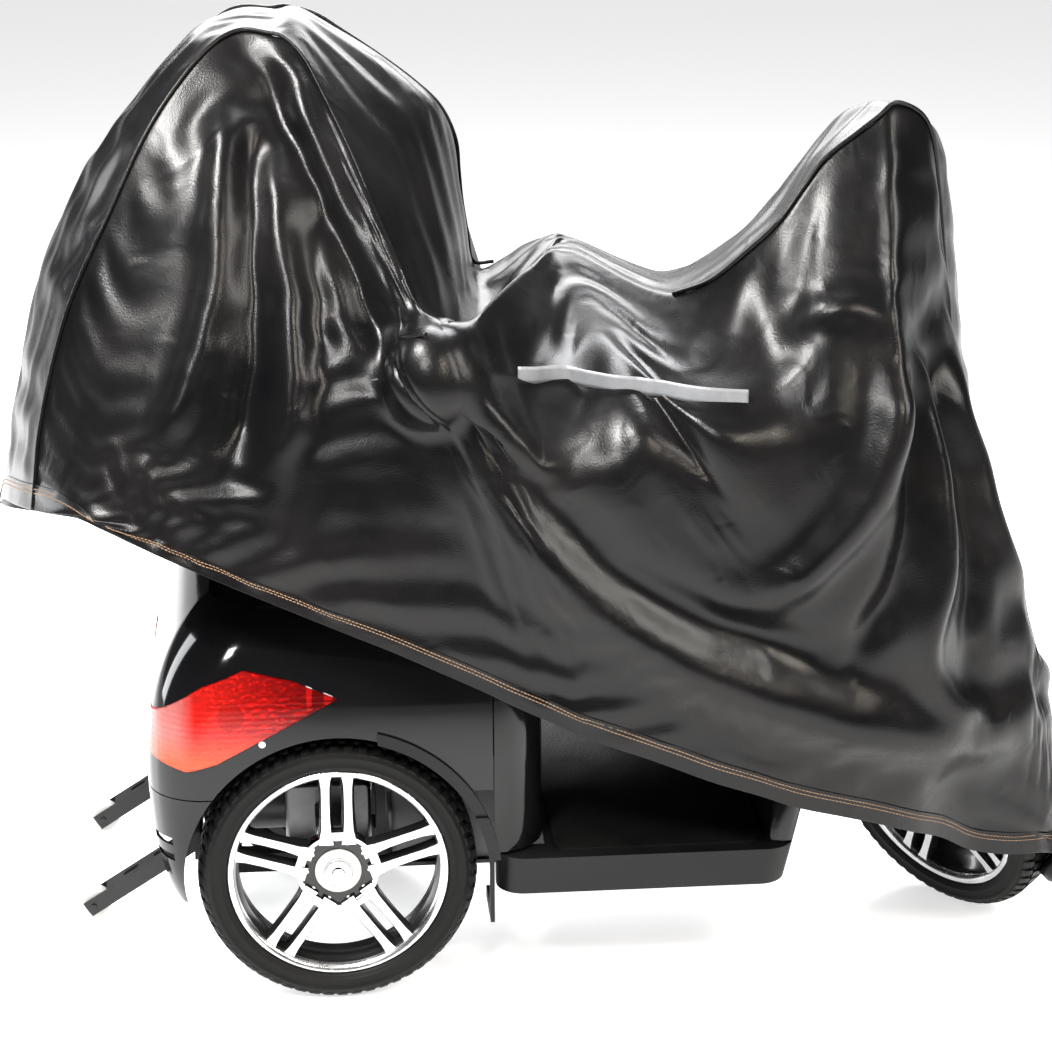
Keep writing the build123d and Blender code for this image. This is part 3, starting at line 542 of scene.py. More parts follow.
def makeRimMesh():
    lip = [(161.8, -34.5), (160.5, -35.5), (156, -35), (153, -32.5), (151, -29), (150, -25), (154, -22),
           (161.8, -24)]
    barrel = [(154, -24), (150, -24), (146, -16), (145, 10), (149, 26), (149, 34), (161.8, 34), (161.8, 31),
              (154.5, 28), (154.5, -20)]
    ring = [(60.5, -12), (60.5, -27), (59, -29.4), (54, -29.8), (52.6, -28.4), (52.2, -22), (50, -12)]
    well = [(52.5, -24), (36, -22.6), (9.6, -22.6), (9.6, 20), (38, 20), (42, -4), (60, -6), (60, -12),
            (52.5, -14)]
    parts = [
        (*spinProfile(lip, wheelShape["segments"]), 0), (*spinProfile(barrel, wheelShape["segments"]), 1),
        (*spinProfile(ring, 96), 2), (*spinProfile(well, 96), 1),
    ]
    stud, cells = spinProfile([(0.1, -25.4), (2.4, -25.2), (3.2, -24), (3.2, -20), (0.1, -20)], 14)
    for n in range(wheelShape["studs"]):
        a = 2 * math.pi * n / wheelShape["studs"]
        dx, dz = wheelShape["studCircle"] * math.cos(a), wheelShape["studCircle"] * math.sin(a)
        parts.append(([(x + dx, y, z + dz) for x, y, z in stud], cells, 2))
    vertices, faces, marks = joinParts(parts)
    for n in range(wheelShape["spokes"]):
        angle = math.radians(72 * n + 90)
        for side in (-1, 1):
            more, cells, kinds = spokeBar(angle, side * wheelShape["pairHalf"])
            start = len(vertices)
            vertices += more
            faces += [tuple(start + i for i in f) for f in cells]
            marks += kinds
        # a rib bridges each pair at the hub, so the two bars grow from one root
        start = len(vertices)
        c, s = math.cos(angle), math.sin(angle)
        for radius in (50, 63):
            for across, y in ((-17, -10), (-17, -28.6), (17, -28.6), (17, -10)):
                vertices.append((radius * c - across * s, y, radius * s + across * c))
        bridge = ((0, 1, 5, 4), (1, 2, 6, 5), (2, 3, 7, 6), (4, 5, 6, 7))
        faces += [tuple(start + i for i in f) for f in bridge]
        marks += [1, 0, 1, 1]
    return vertices, faces, marks


def makeCapMesh():
    disc = [(34, -22.6), (34, -26), (32.6, -27.2), (21, -27.6), (21, -24), (21, -22.6)]
    cap = [(20.6, -23), (20.6, -31), (18.5, -34.2), (13.5, -35.2), (12.5, -33.8), (9.8, -33.6), (9.7, -23)]
    nut = [(9.6, -23), (9.6, -34.5), (8.2, -36), (4, -36.4), (3.5, -34.6), (0.1, -34.6), (0.1, -23)]
    parts = [(*spinProfile(disc, 72), 0), (*spinProfile(cap, 72), 1), (*spinProfile(nut, 6), 1)]
    return joinParts(parts)


def placeWheel(label, matrix, body, nodePattern):
    # the tyre, rim and cap of one wheel, each in place of its own node
    for part, kind, mesh, slot, extras, sharp in (
        ("tyre", "_tyre_tread", makeTyreMesh(), "tyre", (), 38),
        ("rim", "_wheel_rim", makeRimMesh(), "rim_alloy", ("rim_black", "chrome"), 34),
        ("hub_cap", "_wheel_cap", makeCapMesh(), "white_wheel", ("chrome",), 34),
    ):
        vertices, faces, marks = mesh
        piece = meshPiece(label + kind, vertices, faces, body, slot, matrix=matrix)
        for extra in extras:
            piece.data.materials.append(finishes[extra])
        if extras:
            piece.data.polygons.foreach_set("material_index", marks)
        addModifier(piece, "EDGE_SPLIT", split_angle=math.radians(sharp))
        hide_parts(nodePattern % part)


finishes["rim_black"] = moulded("rimBlack", (0.006, 0.006, 0.006), (0.012, 0.012, 0.012), (0.2, 0.3),
                                coat=0.3, grain=300, depth=0.00003, specular=0.3)
mirrorY = Matrix.Scale(-1, 4, (0, 1, 0))
rearWheel = shift(0, -wheelShape["trackHalf"], wheelShape["radius"])
placeWheel("right", rearWheel, "rear_wheel_right", "rear_%s_right")
placeWheel("left", mirrorY @ rearWheel, "rear_wheel_left", "rear_%s_left")
placeWheel("front", steerFrame @ shift(steering["forkOffset"], 0, 0), "front_wheel", "front_%s")
print("wheels done")


padShapes = {
    "seat_cushion_pad": {"low": (-180, -223, 665), "high": (234, 223, 760), "round": 34, "crown": 9, "up": 2,
                         "channels": ((1, -110), (1, 110), (0, 120)), "fill": 0.75},
    "backrest_pad": {"low": (-220, -223, 834), "high": (-140, 223, 1204), "round": 34, "crown": 9, "up": 0,
                     "channels": ((1, -112), (1, 112), (2, 960)), "fill": 0.7},
    "headrest_pad": {"low": (-224, -120, 1230), "high": (-146, 120, 1374), "round": 32, "crown": 7, "up": 0,
                     "channels": ((1, -62), (1, 62)), "fill": 0.7},
}
armPad = {"low": (-129, 263, 880), "high": (149, 317, 919), "round": 15, "crown": 3, "up": 2, "channels": (),
          "fill": 0.85}


def padMesh(low, high, roundness, crown, up, channels, cells=20):
    # a crowned block with round edges; sewn channels press into its upper face
    low, high = np.array(low, float), np.array(high, float)
    centre, half = (low + high) / 2, (high - low) / 2
    index, vertices, faces = {}, [], []

    def cornerAt(p):
        key = tuple(np.round(p, 5))
        if key not in index:
            index[key] = len(vertices)
            vertices.append(np.array(p, float))
        return index[key]

    ticks = np.linspace(-1, 1, cells + 1)
    for axis in range(3):
        u, v = (axis + 1) % 3, (axis + 2) % 3
        for sign in (-1, 1):
            for i in range(cells):
                for j in range(cells):
                    ring = []
                    for a, b in ((i, j), (i + 1, j), (i + 1, j + 1), (i, j + 1)):
                        p = [0.0, 0.0, 0.0]
                        p[axis], p[u], p[v] = sign, ticks[a], ticks[b]
                        ring.append(cornerAt(p))
                    faces.append(tuple(ring) if sign > 0 else tuple(reversed(ring)))
    unit = np.array(vertices)
    body = unit * half
    core = np.clip(body, -(half - roundness), half - roundness)
    out = body - core
    length = np.maximum(np.linalg.norm(out, axis=1, keepdims=True), 1e-9)
    body = core + out / length * np.minimum(length, roundness)
    # crown on the upper face, and sides drawn in a little between the corners
    others = [k for k in range(3) if k != up]
    full = (1 - unit[:, others[0]] ** 2) * (1 - unit[:, others[1]] ** 2)
    top = np.clip(unit[:, up], 0, 1)
    body[:, up] += (crown * full - crown * 0.5) * top
    for k in others:
        other = [n for n in others if n != k][0]
        body[:, k] -= np.sign(unit[:, k]) * np.abs(unit[:, k]) ** 6 * 3.5 * (1 - unit[:, other] ** 2)
    place = body + centre
    for axis, at in channels:
        near = np.exp(-((place[:, axis] - at) / 6.0) ** 2)
        body[:, up] -= 6.5 * near * top
        side = np.clip(1 - top, 0, 1)
        edge = unit[:, others[0]]
        body[:, others[0]] -= np.sign(edge) * 2 * near * side * (np.abs(edge) > 0.98)
    return body + centre, faces


def pipingLoop(low, high, up, level):
    others = [k for k in range(3) if k != up]
    points = []
    for n in range(96):
        a = 2 * math.pi * n / 96
        p = np.zeros(3)
        p[up] = level
        for k, direction in zip(others, (math.cos(a), math.sin(a))):
            half = (high[k] - low[k]) / 2
            p[k] = (high[k] + low[k]) / 2 + np.sign(direction) * (half - 1.2) * min(1, abs(direction) ** 0.28)
        points.append(p)
    return points


def tubeMesh(points, radius, sides=8, closed=False):
    points = np.array(points, float)
    count = len(points)
    if closed:
        ahead = np.roll(points, -1, axis=0) - np.roll(points, 1, axis=0)
    else:
        ahead = np.gradient(points, axis=0)
    ahead /= np.maximum(np.linalg.norm(ahead, axis=1, keepdims=True), 1e-9)
    normal = np.cross(ahead[0], (0.31, 0.52, 0.79))
    vertices, faces = [], []
    for k in range(count):
        normal = normal - ahead[k] * (normal @ ahead[k])
        normal /= max(np.linalg.norm(normal), 1e-9)
        side = np.cross(ahead[k], normal)
        for s in range(sides):
            a = 2 * math.pi * s / sides
            vertices.append(points[k] + radius * (math.cos(a) * normal + math.sin(a) * side))
    for k in range(count if closed else count - 1):
        for s in range(sides):
            a, b = k * sides + s, k * sides + (s + 1) % sides
            after = ((k + 1) % count) * sides
            faces.append((a, b, after + (s + 1) % sides, after + s))
    if not closed:
        faces.append(tuple(reversed(range(sides))))
        faces.append(tuple((count - 1) * sides + s for s in range(sides)))
    return vertices, faces


stuffing = {"pressure": 2.5, "frames": 12, "cap": 0.005}


def plump(piece):
    # the stuffing pushes the cover out, and no point may travel further than the cap
    before = np.array([v.co for v in piece.data.vertices])
    cloth = addModifier(piece, "CLOTH")
    cloth.settings.quality = 4
    cloth.settings.use_pressure = True
    cloth.settings.uniform_pressure_force = stuffing["pressure"]
    cloth.settings.effector_weights.gravity = 0
    cloth.settings.tension_stiffness = 30
    cloth.settings.compression_stiffness = 30
    cloth.settings.bending_stiffness = 2
    cloth.settings.vertex_group_mass = "sewn"
    cloth.settings.pin_stiffness = 3
    for number in range(1, stuffing["frames"] + 1):
        bpy.context.scene.frame_set(number)
    applyModifiers(piece)
    after = np.array([v.co for v in piece.data.vertices])
    step = after - before
    far = np.maximum(np.linalg.norm(step, axis=1, keepdims=True), 1e-9)
    after = before + step * np.minimum(1, stuffing["cap"] / far)
    piece.data.vertices.foreach_set("co", after.astype(np.float32).ravel())
    piece.data.update()
    bpy.context.scene.frame_set(1)


def makePad(name, shape, matrix, body, nodeName):
    vertices, faces = padMesh(shape["low"], shape["high"], shape["round"], shape["crown"], shape["up"],
                              shape["channels"])
    pad = meshPiece(name, vertices, faces, body, "vinyl", matrix=matrix)
    sewn = pad.vertex_groups.new(name="sewn")
    for k, p in enumerate(vertices):
        hold = 0.25
        for axis, at in shape["channels"]:
            hold = max(hold, math.exp(-((p[axis] - at) / 7) ** 2))
        if p[shape["up"]] < (shape["low"][shape["up"]] + shape["high"][shape["up"]]) / 2:
            hold = max(hold, 0.8)
        sewn.add([k], float(hold), "REPLACE")
    if shape["channels"]:
        plump(pad)
    addModifier(pad, "SUBSURF", levels=1, render_levels=1)
    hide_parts(nodeName)
    low, high, up = shape["low"], shape["high"], shape["up"]
    level = high[up] - shape["round"] * 0.55
    cord, cells = tubeMesh(pipingLoop(low, high, up, level), 2.6, closed=True)
    meshPiece(name + "_piping", cord, cells, body, "vinyl", matrix=matrix)


def rodMesh(start, end, radius, sides=20):
    return tubeMesh(throughPoints([start, end], 6), radius, sides)


def makeSeat():
    for name, matrix, body, nodeName in (
        ("seat_cushion_pad", seatFrame, "seat", "seat_cushion"),
        ("backrest_pad", backFrame, "seat_back", "backrest"),
        ("headrest_pad", backFrame, "headrest_body", "headrest"),
    ):
        makePad(name, padShapes[name], matrix, body, nodeName)
    irons = []
    hinge, pivot = seating["hinge"], seating["armPivot"]
    for side in (-1, 1):
        strap = [(hinge[0], side * 205, hinge[2] - 8), (hinge[0], side * 205, hinge[2] + 60),
                 (hinge[0] - 2, side * 205, 850), (hinge[0] + 4, side * 205, 900)]
        for offset in (-7, 0, 7):
            line = [(x + offset, y, z) for x, y, z in strap]
            irons.append((*tubeMesh(throughPoints(line, 24), 4.6, 12), 0))
        irons.append((*rodMesh((hinge[0], side * 192, hinge[2]), (hinge[0], side * 211, hinge[2]), 9.5), 0))
        irons.append((*rodMesh((pivot[0], side * 219, pivot[2]), (pivot[0], side * 264, pivot[2]), 7.9), 0))
        irons.append((*rodMesh((pivot[0], side * 222, pivot[2]), (pivot[0], side * 233, pivot[2]), 21), 0))
    vertices, faces, _ = joinParts(irons)
    plates = meshPiece("backrest_irons", vertices, faces, "seat_back", "frame_paint", matrix=backFrame)
    addModifier(plates, "EDGE_SPLIT", split_angle=math.radians(40))
    rods = joinParts([(*rodMesh((-180, side * 62, 1096), (-180, side * 62, 1240), 5), 0) for side in (-1, 1)])
    meshPiece("headrest_rods", rods[0], rods[1], "headrest_body", "chrome", matrix=backFrame)
    for side, label in ((-1, "right"), (1, "left")):
        flip = Matrix.Scale(side, 4, (0, 1, 0))
        makePad("armrest_pad_" + label, armPad, armFrame @ flip, "arm_" + label, "armrest_" + label)
        low = pivot[2]
        tubes = [
            (*rodMesh((pivot[0], 234, low), (pivot[0], 260, low), 19, 28), 0),
        ]
        for points, count, radius in (
            ([(pivot[0], 248, low), (-60, 248, low), (60, 248, low), (118, 252, low + 4)], 24, 9),
            ([(pivot[0], 248, low), (pivot[0] + 25, 268, low + 3), (pivot[0] + 52, 290, low + 8)], 12, 9),
            ([(100, 250, low), (104, 270, low + 3), (106, 290, low + 8)], 12, 7),
        ):
            tubes.append((*tubeMesh(throughPoints(points, count), radius, 16), 0))
        vertices, faces, _ = joinParts(tubes)
        tube = meshPiece("armrest_tube_" + label, vertices, faces, "arm_" + label, "frame_paint",
                         matrix=armFrame @ flip)
        addModifier(tube, "EDGE_SPLIT", split_angle=math.radians(40))


makeSeat()
print("seat done")


coverShape = {
    "nearCells": 64, "topCells": 34, "farCells": 34, "rowPitch": 13.0, "middle": (200, 0, 700),
    "thickness": 0.0024, "simFrames": 30, "slack": 0.012, "hold": 0.36, "bending": 30.0,
    "hemBand": 36.0, "hemRise": 2.1, "hemStitch": (24.0, 30.0), "stitchPitch": 5.6, "stitchLength": 4.2,
    "stitchRise": 3.1, "threadRadius": 0.75, "pipeRadius": 3.2, "pipeRise": 2.2,
    "pipeRibs": ((0, 12), (16, 27)),
    "clear": 7.0, "bump": 36.0, "liftReach": 90.0, "liftRounds": 7, "fadeRows": 6,
    "frontFrom": 1118.0, "frontGive": 24.0,
    "under": ("armrest_right", "armrest_left", "handle_grips", "mirror_arm", "headlamp_lens",
              "tiller_console", "throttle_lever", "brake_lever", "backrest", "headrest",
              "rear_shell", "handlebar", "speed_knob", "ignition_key", "front_tyre"),
}
# ribs from the rear hem forward: near hem up to the near seam, over the top, down to the far hem
coverRibs = (
    ([(-343, -352, 804), (-380, -305, 792), (-409, -250, 780)], [(-440, -150, 755), (-470, 5, 712),
     (-489, 135, 668), (-499, 215, 636)], [(-490, 255, 615), (-465, 290, 598)]),
    ([(-250, -364, 755), (-300, -330, 820), (-348, -280, 866), (-392, -222, 905)], [(-420, -110, 900),
     (-440, 0, 880), (-455, 110, 830), (-462, 200, 765)], [(-455, 270, 680), (-425, 320, 585)]),
    ([(-170, -368, 716), (-235, -340, 830), (-300, -270, 950), (-350, -188, 1052)], [(-375, -90, 1062),
     (-395, 10, 1060), (-405, 110, 1030), (-405, 200, 970)], [(-400, 290, 800), (-370, 345, 580)]),
    ([(-80, -371, 674), (-150, -350, 800), (-225, -275, 990), (-290, -150, 1175)], [(-312, -60, 1200),
     (-325, 30, 1205), (-328, 120, 1180), (-325, 205, 1130)], [(-330, 300, 900), (-310, 365, 570)]),
    ([(10, -372, 632), (-55, -358, 770), (-125, -290, 980), (-180, -190, 1180), (-232, -108, 1285)],
     [(-245, -20, 1305), (-250, 70, 1302), (-248, 150, 1280), (-240, 215, 1250)], [(-255, 310, 980),
     (-245, 375, 560)]),
    ([(80, -373, 600), (20, -362, 760), (-45, -310, 950), (-100, -210, 1160), (-165, -62, 1368)],
     [(-172, 20, 1384), (-172, 110, 1380), (-160, 220, 1358)], [(-175, 320, 1080), (-180, 385, 550)]),
    ([(140, -374, 570), (90, -366, 730), (30, -325, 910), (-30, -235, 1110), (-80, -110, 1300),
     (-112, -35, 1402)], [(-116, 50, 1405), (-114, 140, 1402), (-110, 230, 1392)], [(-90, 325, 1130),
     (-100, 390, 540)]),
    ([(200, -375, 540), (165, -371, 690), (110, -345, 860), (45, -265, 1060), (-10, -150, 1270),
     (-60, -45, 1398)], [(-62, 50, 1405), (-58, 150, 1402), (-50, 245, 1388)], [(-20, 335, 1150),
     (0, 392, 520)]),
    ([(245, -375, 515), (215, -373, 670), (165, -356, 840), (105, -290, 1020), (45, -185, 1200),
     (-20, -65, 1370)], [(-12, 40, 1398), (-5, 150, 1395), (5, 250, 1378)], [(50, 340, 1160),
     (90, 392, 480)]),
    ([(290, -375, 492), (268, -374, 650), (220, -362, 820), (160, -330, 970), (108, -255, 1100),
     (58, -165, 1212)], [(95, -60, 1250), (135, 60, 1285), (165, 150, 1272), (190, 255, 1235)],
     [(190, 345, 1040), (190, 392, 440)]),
    ([(325, -375, 474), (308, -375, 630), (262, -368, 790), (200, -350, 930), (140, -310, 1020),
     (98, -252, 1078)], [(150, -140, 1100), (190, 0, 1120), (212, 150, 1118), (222, 262, 1090)],
     [(240, 350, 960), (250, 392, 420)]),
    ([(355, -375, 460), (342, -376, 610), (300, -372, 760), (235, -360, 890), (170, -345, 960),
     (120, -322, 994)], [(165, -225, 990), (200, -100, 990), (222, 60, 985), (236, 200, 985),
     (246, 298, 975)], [(280, 365, 880), (300, 392, 412)]),
    ([(390, -374, 444), (382, -377, 590), (345, -376, 730), (285, -368, 850), (215, -352, 955),
     (168, -338, 1030)], [(205, -235, 985), (238, -110, 975), (262, 50, 975), (276, 200, 985),
     (292, 300, 990)], [(320, 370, 870), (340, 392, 405)]),
    ([(435, -373, 426), (430, -378, 580), (395, -380, 720), (330, -368, 838), (272, -300, 925),
     (225, -205, 1046)], [(262, -80, 1022), (290, 60, 1008), (310, 190, 1015), (326, 300, 1010)],
     [(352, 374, 850), (380, 392, 400)]),
    ([(485, -371, 404), (484, -378, 570), (448, -382, 730), (378, -370, 858), (338, -272, 938),
     (300, -60, 1062)], [(325, 40, 1052), (345, 130, 1046), (356, 220, 1040), (362, 290, 1020)],
     [(390, 370, 850), (440, 391, 392)]),
    ([(535, -369, 382), (535, -378, 560), (505, -384, 730), (440, -374, 872), (424, -322, 932),
     (388, -165, 1000), (371, 100, 1046)], [(385, 170, 1042), (396, 230, 1032), (406, 290, 1006)],
     [(432, 365, 840), (490, 388, 375)]),
    ([(595, -366, 360), (602, -380, 550), (575, -386, 730), (520, -378, 885), (502, -338, 935),
     (494, -250, 985), (500, -120, 1032)], [(512, 0, 1022), (520, 100, 1008), (522, 190, 988),
     (516, 270, 960)], [(532, 345, 800), (560, 382, 355)]),
    ([(655, -360, 335), (672, -378, 530), (655, -388, 720), (625, -380, 870), (612, -342, 945),
     (612, -292, 996), (612, -240, 1070), (618, -200, 1137)], [(632, -100, 1128), (640, 0, 1114),
     (628, 110, 1062), (602, 220, 985)], [(602, 320, 790), (620, 374, 335)]),
    ([(720, -352, 315), (742, -376, 510), (735, -390, 710), (708, -382, 880), (690, -330, 1000),
     (688, -262, 1110), (700, -180, 1236)], [(706, -100, 1226), (712, 0, 1208), (702, 100, 1150),
     (672, 190, 1060)], [(666, 300, 800), (690, 365, 320)]),
    ([(775, -340, 296), (800, -368, 490), (800, -384, 690), (780, -372, 880), (762, -330, 1010),
     (760, -248, 1160), (770, -168, 1286)], [(765, -80, 1280), (760, 0, 1264), (752, 90, 1215),
     (732, 180, 1110)], [(722, 290, 800), (740, 355, 304)]),
    ([(832, -322, 272), (856, -350, 470), (850, -362, 670), (815, -345, 860), (784, -320, 1018),
     (792, -242, 1170), (798, -156, 1308)], [(796, -90, 1298), (792, -20, 1276), (792, 70, 1225),
     (790, 160, 1120)], [(782, 270, 800), (790, 345, 288)]),
    ([(885, -290, 245), (904, -312, 450), (892, -318, 670), (856, -296, 850), (826, -262, 1010),
     (836, -205, 1150), (838, -140, 1292)], [(850, -80, 1276), (858, -20, 1256), (862, 60, 1215),
     (850, 140, 1120)], [(850, 255, 800), (850, 325, 268)]),
    ([(935, -264, 211), (956, -290, 420), (940, -282, 640), (898, -242, 850), (868, -202, 1010),
     (866, -165, 1140), (860, -130, 1256)], [(880, -80, 1238), (893, -20, 1212), (900, 50, 1170),
     (900, 120, 1085)], [(910, 225, 780), (915, 300, 246)]),
    ([(988, -256, 197), (1006, -268, 380), (990, -246, 590), (942, -205, 800), (900, -165, 970),
     (884, -138, 1080), (878, -112, 1170)], [(905, -60, 1155), (922, 0, 1128), (930, 55, 1085),
     (930, 105, 1020)], [(960, 200, 740), (985, 265, 216)]),
    ([(1028, -250, 193), (1040, -254, 330), (1014, -228, 500), (972, -188, 670), (934, -140, 820),
     (914, -100, 930)], [(940, -50, 915), (958, 5, 890), (968, 55, 850), (970, 95, 800)], [(1000, 170, 560),
     (1030, 230, 190)]),
    ([(1055, -240, 189), (1066, -238, 290), (1048, -208, 430), (1014, -166, 550), (985, -108, 640)],
     [(1008, -55, 625), (1022, 0, 605), (1028, 50, 585), (1025, 95, 560)], [(1045, 155, 380),
     (1065, 205, 175)]),
    ([(1080, -206, 171), (1090, -200, 240), (1078, -172, 320), (1048, -118, 380)], [(1068, -55, 360),
     (1078, 0, 350), (1080, 50, 340), (1075, 95, 335)], [(1080, 140, 240), (1085, 175, 160)]),
    ([(1096, -160, 150), (1106, -138, 140), (1112, -104, 132)], [(1119, -40, 126), (1123, 15, 126),
     (1120, 60, 130), (1111, 95, 136)], [(1106, 115, 142), (1100, 135, 148)]),
)
# folds pressed into the hang: a line over the cloth, how wide, and how far out (or in) it goes
coverFolds = (
    ([(-85, -60, 1370), (-20, -150, 1235), (45, -240, 1090), (85, -300, 990)], 20, -22),
    ([(-120, -70, 1330), (-135, -140, 1190), (-140, -190, 1100), (-165, -240, 1010), (-200, -270, 930),
     (-250, -300, 860)], 26, 16),
    ([(-100, -90, 1290), (-95, -170, 1160), (-95, -250, 1020), (-110, -290, 930), (-140, -320, 860)],
     22, -16),
    ([(-70, -110, 1270), (-55, -200, 1120), (-45, -270, 990), (-55, -310, 900), (-85, -335, 820)], 24,
     16),
    ([(-30, -150, 1200), (-15, -220, 1080), (-10, -280, 960)], 18, -12),
    ([(160, -340, 1000), (215, -372, 860), (310, -386, 720), (450, -392, 600), (640, -392, 500),
     (860, -350, 430), (1010, -200, 400)], 52, 30),
    ([(215, -350, 940), (290, -372, 800), (400, -384, 690), (560, -388, 610), (720, -384, 560)], 40,
     -26),
    ([(785, -318, 1018), (770, -360, 900), (720, -385, 780), (640, -390, 700), (560, -388, 660)], 30,
     26),
    ([(800, -310, 1000), (812, -350, 860), (800, -372, 740), (770, -384, 640), (720, -386, 560)], 28,
     -28),
    ([(800, -300, 1010), (850, -330, 830), (850, -350, 700), (830, -362, 600), (850, -350, 500),
     (930, -290, 420)], 24, 20),
    ([(840, -250, 1000), (880, -270, 830), (905, -290, 680), (900, -300, 560)], 22, -18),
    ([(860, -200, 980), (915, -220, 760), (965, -220, 560), (1020, -170, 380)], 26, 16),
    ([(640, -300, 1040), (700, -290, 1050), (770, -300, 1040)], 18, 14),
)


def coverTarget():
    shape = coverShape
    rows = []
    for nearRun, topRun, farRun in coverRibs:
        near = throughPoints(nearRun, shape["nearCells"] + 1)
        top = throughPoints(nearRun[-1:] + topRun, shape["topCells"] + 1)
        far = throughPoints(topRun[-1:] + farRun, shape["farCells"] + 1)
        rows.append(np.vstack([near, top[1:], far[1:]]))
    rows = np.array(rows)
    # even rows between the ribs, smooth along the length
    count, across = rows.shape[:2]
    grid = []
    ribAt = []
    padded = np.concatenate([[2 * rows[0] - rows[1]], rows, [2 * rows[-1] - rows[-2]]])
    for k in range(count - 1):
        a, b, c, d = padded[k:k + 4]
        gap = np.linalg.norm(c - b, axis=1).mean()
        steps = max(2, int(round(gap / shape["rowPitch"])))
        ribAt.append(len(grid))
        grid += [between(a, b, c, d, n / steps) for n in range(steps)]
    ribAt.append(len(grid))
    grid.append(rows[-1])
    return np.array(grid), ribAt


def outwardNormals(grid):
    # unit normals that point away from the middle of the scooter
    normal = np.cross(np.gradient(grid, axis=1), np.gradient(grid, axis=0))
    normal = normal / np.maximum(np.linalg.norm(normal, axis=2, keepdims=True), 1e-9)
    return normal * np.sign((normal * (grid - coverShape["middle"])).sum(axis=2).mean())


def lineDistance(points, line):
    line = np.array(line, float)
    best = np.full(points.shape[:-1], 1e9)
    for a, b in zip(line, line[1:]):
        span = b - a
        t = np.clip(((points - a) @ span) / max(span @ span, 1e-6), 0, 1)
        best = np.minimum(best, np.linalg.norm(points - (a + t[..., None] * span), axis=-1))
    return best


def pressFolds(grid):
    normal = outwardNormals(grid)
    for points, wide, out in coverFolds:
        line = throughPoints(points, 40)
        # the fold's line is laid on to the cloth where it is nearest
        flat = grid.reshape(-1, 3)
        laid = np.array([flat[np.argmin(np.linalg.norm(flat - p, axis=1))] for p in line])
        for _ in range(3):
            laid[1:-1] = (laid[:-2] + laid[1:-1] + laid[2:]) / 3
        away = lineDistance(grid, laid)
        fade = np.exp(-(away / wide) ** 2)
        ends = np.minimum(np.linalg.norm(grid - laid[0], axis=2), np.linalg.norm(grid - laid[-1], axis=2))
        taper = np.clip(ends / (3 * wide), 0.25, 1)
        grid = grid + normal * (out * fade * taper)[..., None]
    return grid


def liftOverParts(grid):
    # where a hard part would touch, the cloth is lifted over it in a soft round bump
    toShop = shop.inverted()
    hard = []
    for name in coverShape["under"]:
        flat = np.array([toShop @ v.co for v in nodes[name].data.vertices], float)
        hard.append(flat[::max(1, len(flat) // 900)])
    hard = np.vstack(hard)
    rows = len(grid)
    endFade = np.clip((rows - 1 - np.arange(rows)) / coverShape["fadeRows"], 0.0, 1.0)
    for _ in range(coverShape["liftRounds"]):
        normal = outwardNormals(grid)
        flat, flatNormal = grid.reshape(-1, 3), normal.reshape(-1, 3)
        tree = KDTree(len(flat))
        for k, p in enumerate(flat):
            tree.insert(p, k)
        tree.balance()
        worst = {}
        for p in hard:
            _, k, away = tree.find(p)
            if away > coverShape["liftReach"]:
                continue
            depth = float((p - flat[k]) @ flatNormal[k]) + coverShape["clear"]
            if depth > 0.5 and depth > worst.get(k, 0):
                worst[k] = depth
        if not worst:
            break
        rise = np.zeros(len(flat))
        for k, depth in worst.items():
            away = np.linalg.norm(flat - flat[k], axis=1)
            rise = np.maximum(rise, depth * np.exp(-(away / coverShape["bump"]) ** 2))
        rise = rise.reshape(grid.shape[:2]) * endFade[:, None]
        grid = grid + normal * rise[..., None]
    # the nose of the cover never stands far in front of the wheel
    over = np.maximum(grid[..., 0] - coverShape["frontFrom"], 0)
    grid[..., 0] -= over - coverShape["frontGive"] * np.tanh(over / coverShape["frontGive"])
    return grid


def gridFaces(rows, across):
    return [(k, k + 1, k + across + 1, k + across)
            for r in range(rows - 1) for k in range(r * across, (r + 1) * across - 1)]


def coverPiece(name, vertices, faces, finish="cover_vinyl"):
    return meshPiece(name, vertices, faces, "storm_cover", "cover_vinyl", matrix=Matrix.Identity(4),
                     finish=finishes[finish])


def makeCover():
    grid, ribAt = coverTarget()
    grid = liftOverParts(pressFolds(grid))
    rows, across = grid.shape[:2]
    cover = coverPiece("storm_cover_sheet", grid.reshape(-1, 3), gridFaces(rows, across))
    print("cover laid out:", rows, "rows of", across)
    return cover, rows, across, ribAt


cover, coverRows, coverAcross, ribAt = makeCover()


def drapeCover(piece, rows, across):
    # the cloth hangs from its laid-out shape, held firmly at the hem, the seams and where it rests
    shape = coverShape
    held = piece.vertex_groups.new(name="held")
    nearSeam = shape["nearCells"]
    farSeam = nearSeam + shape["topCells"]
    for r in range(rows):
        for c in range(across):
            edge = min(r, c, rows - 1 - r, across - 1 - c)
            seam = min(abs(c - nearSeam), abs(c - farSeam))
            hold = shape["hold"]
            if seam < 4:
                hold = max(hold, 0.95 - 0.1 * seam)
            if edge < 3:
                hold = 1.0 - 0.12 * edge
            held.add([r * across + c], hold, "REPLACE")
    cloth = addModifier(piece, "CLOTH")
    settings = cloth.settings
    settings.quality = 5
    settings.mass = 0.5
    settings.tension_stiffness = 25
    settings.compression_stiffness = 25
    settings.shear_stiffness = 8
    settings.bending_stiffness = shape["bending"]
    settings.vertex_group_mass = "held"
    settings.pin_stiffness = 2.2
    settings.shrink_min = -shape["slack"]
    settings.shrink_max = -shape["slack"]
    cloth.collision_settings.use_collision = False
    cloth.collision_settings.use_self_collision = False
    scene = bpy.context.scene
    for number in range(1, shape["simFrames"] + 1):
        scene.frame_set(number)
    applyModifiers(piece)
    scene.frame_set(1)


drapeCover(cover, coverRows, coverAcross)
print("cover draped")


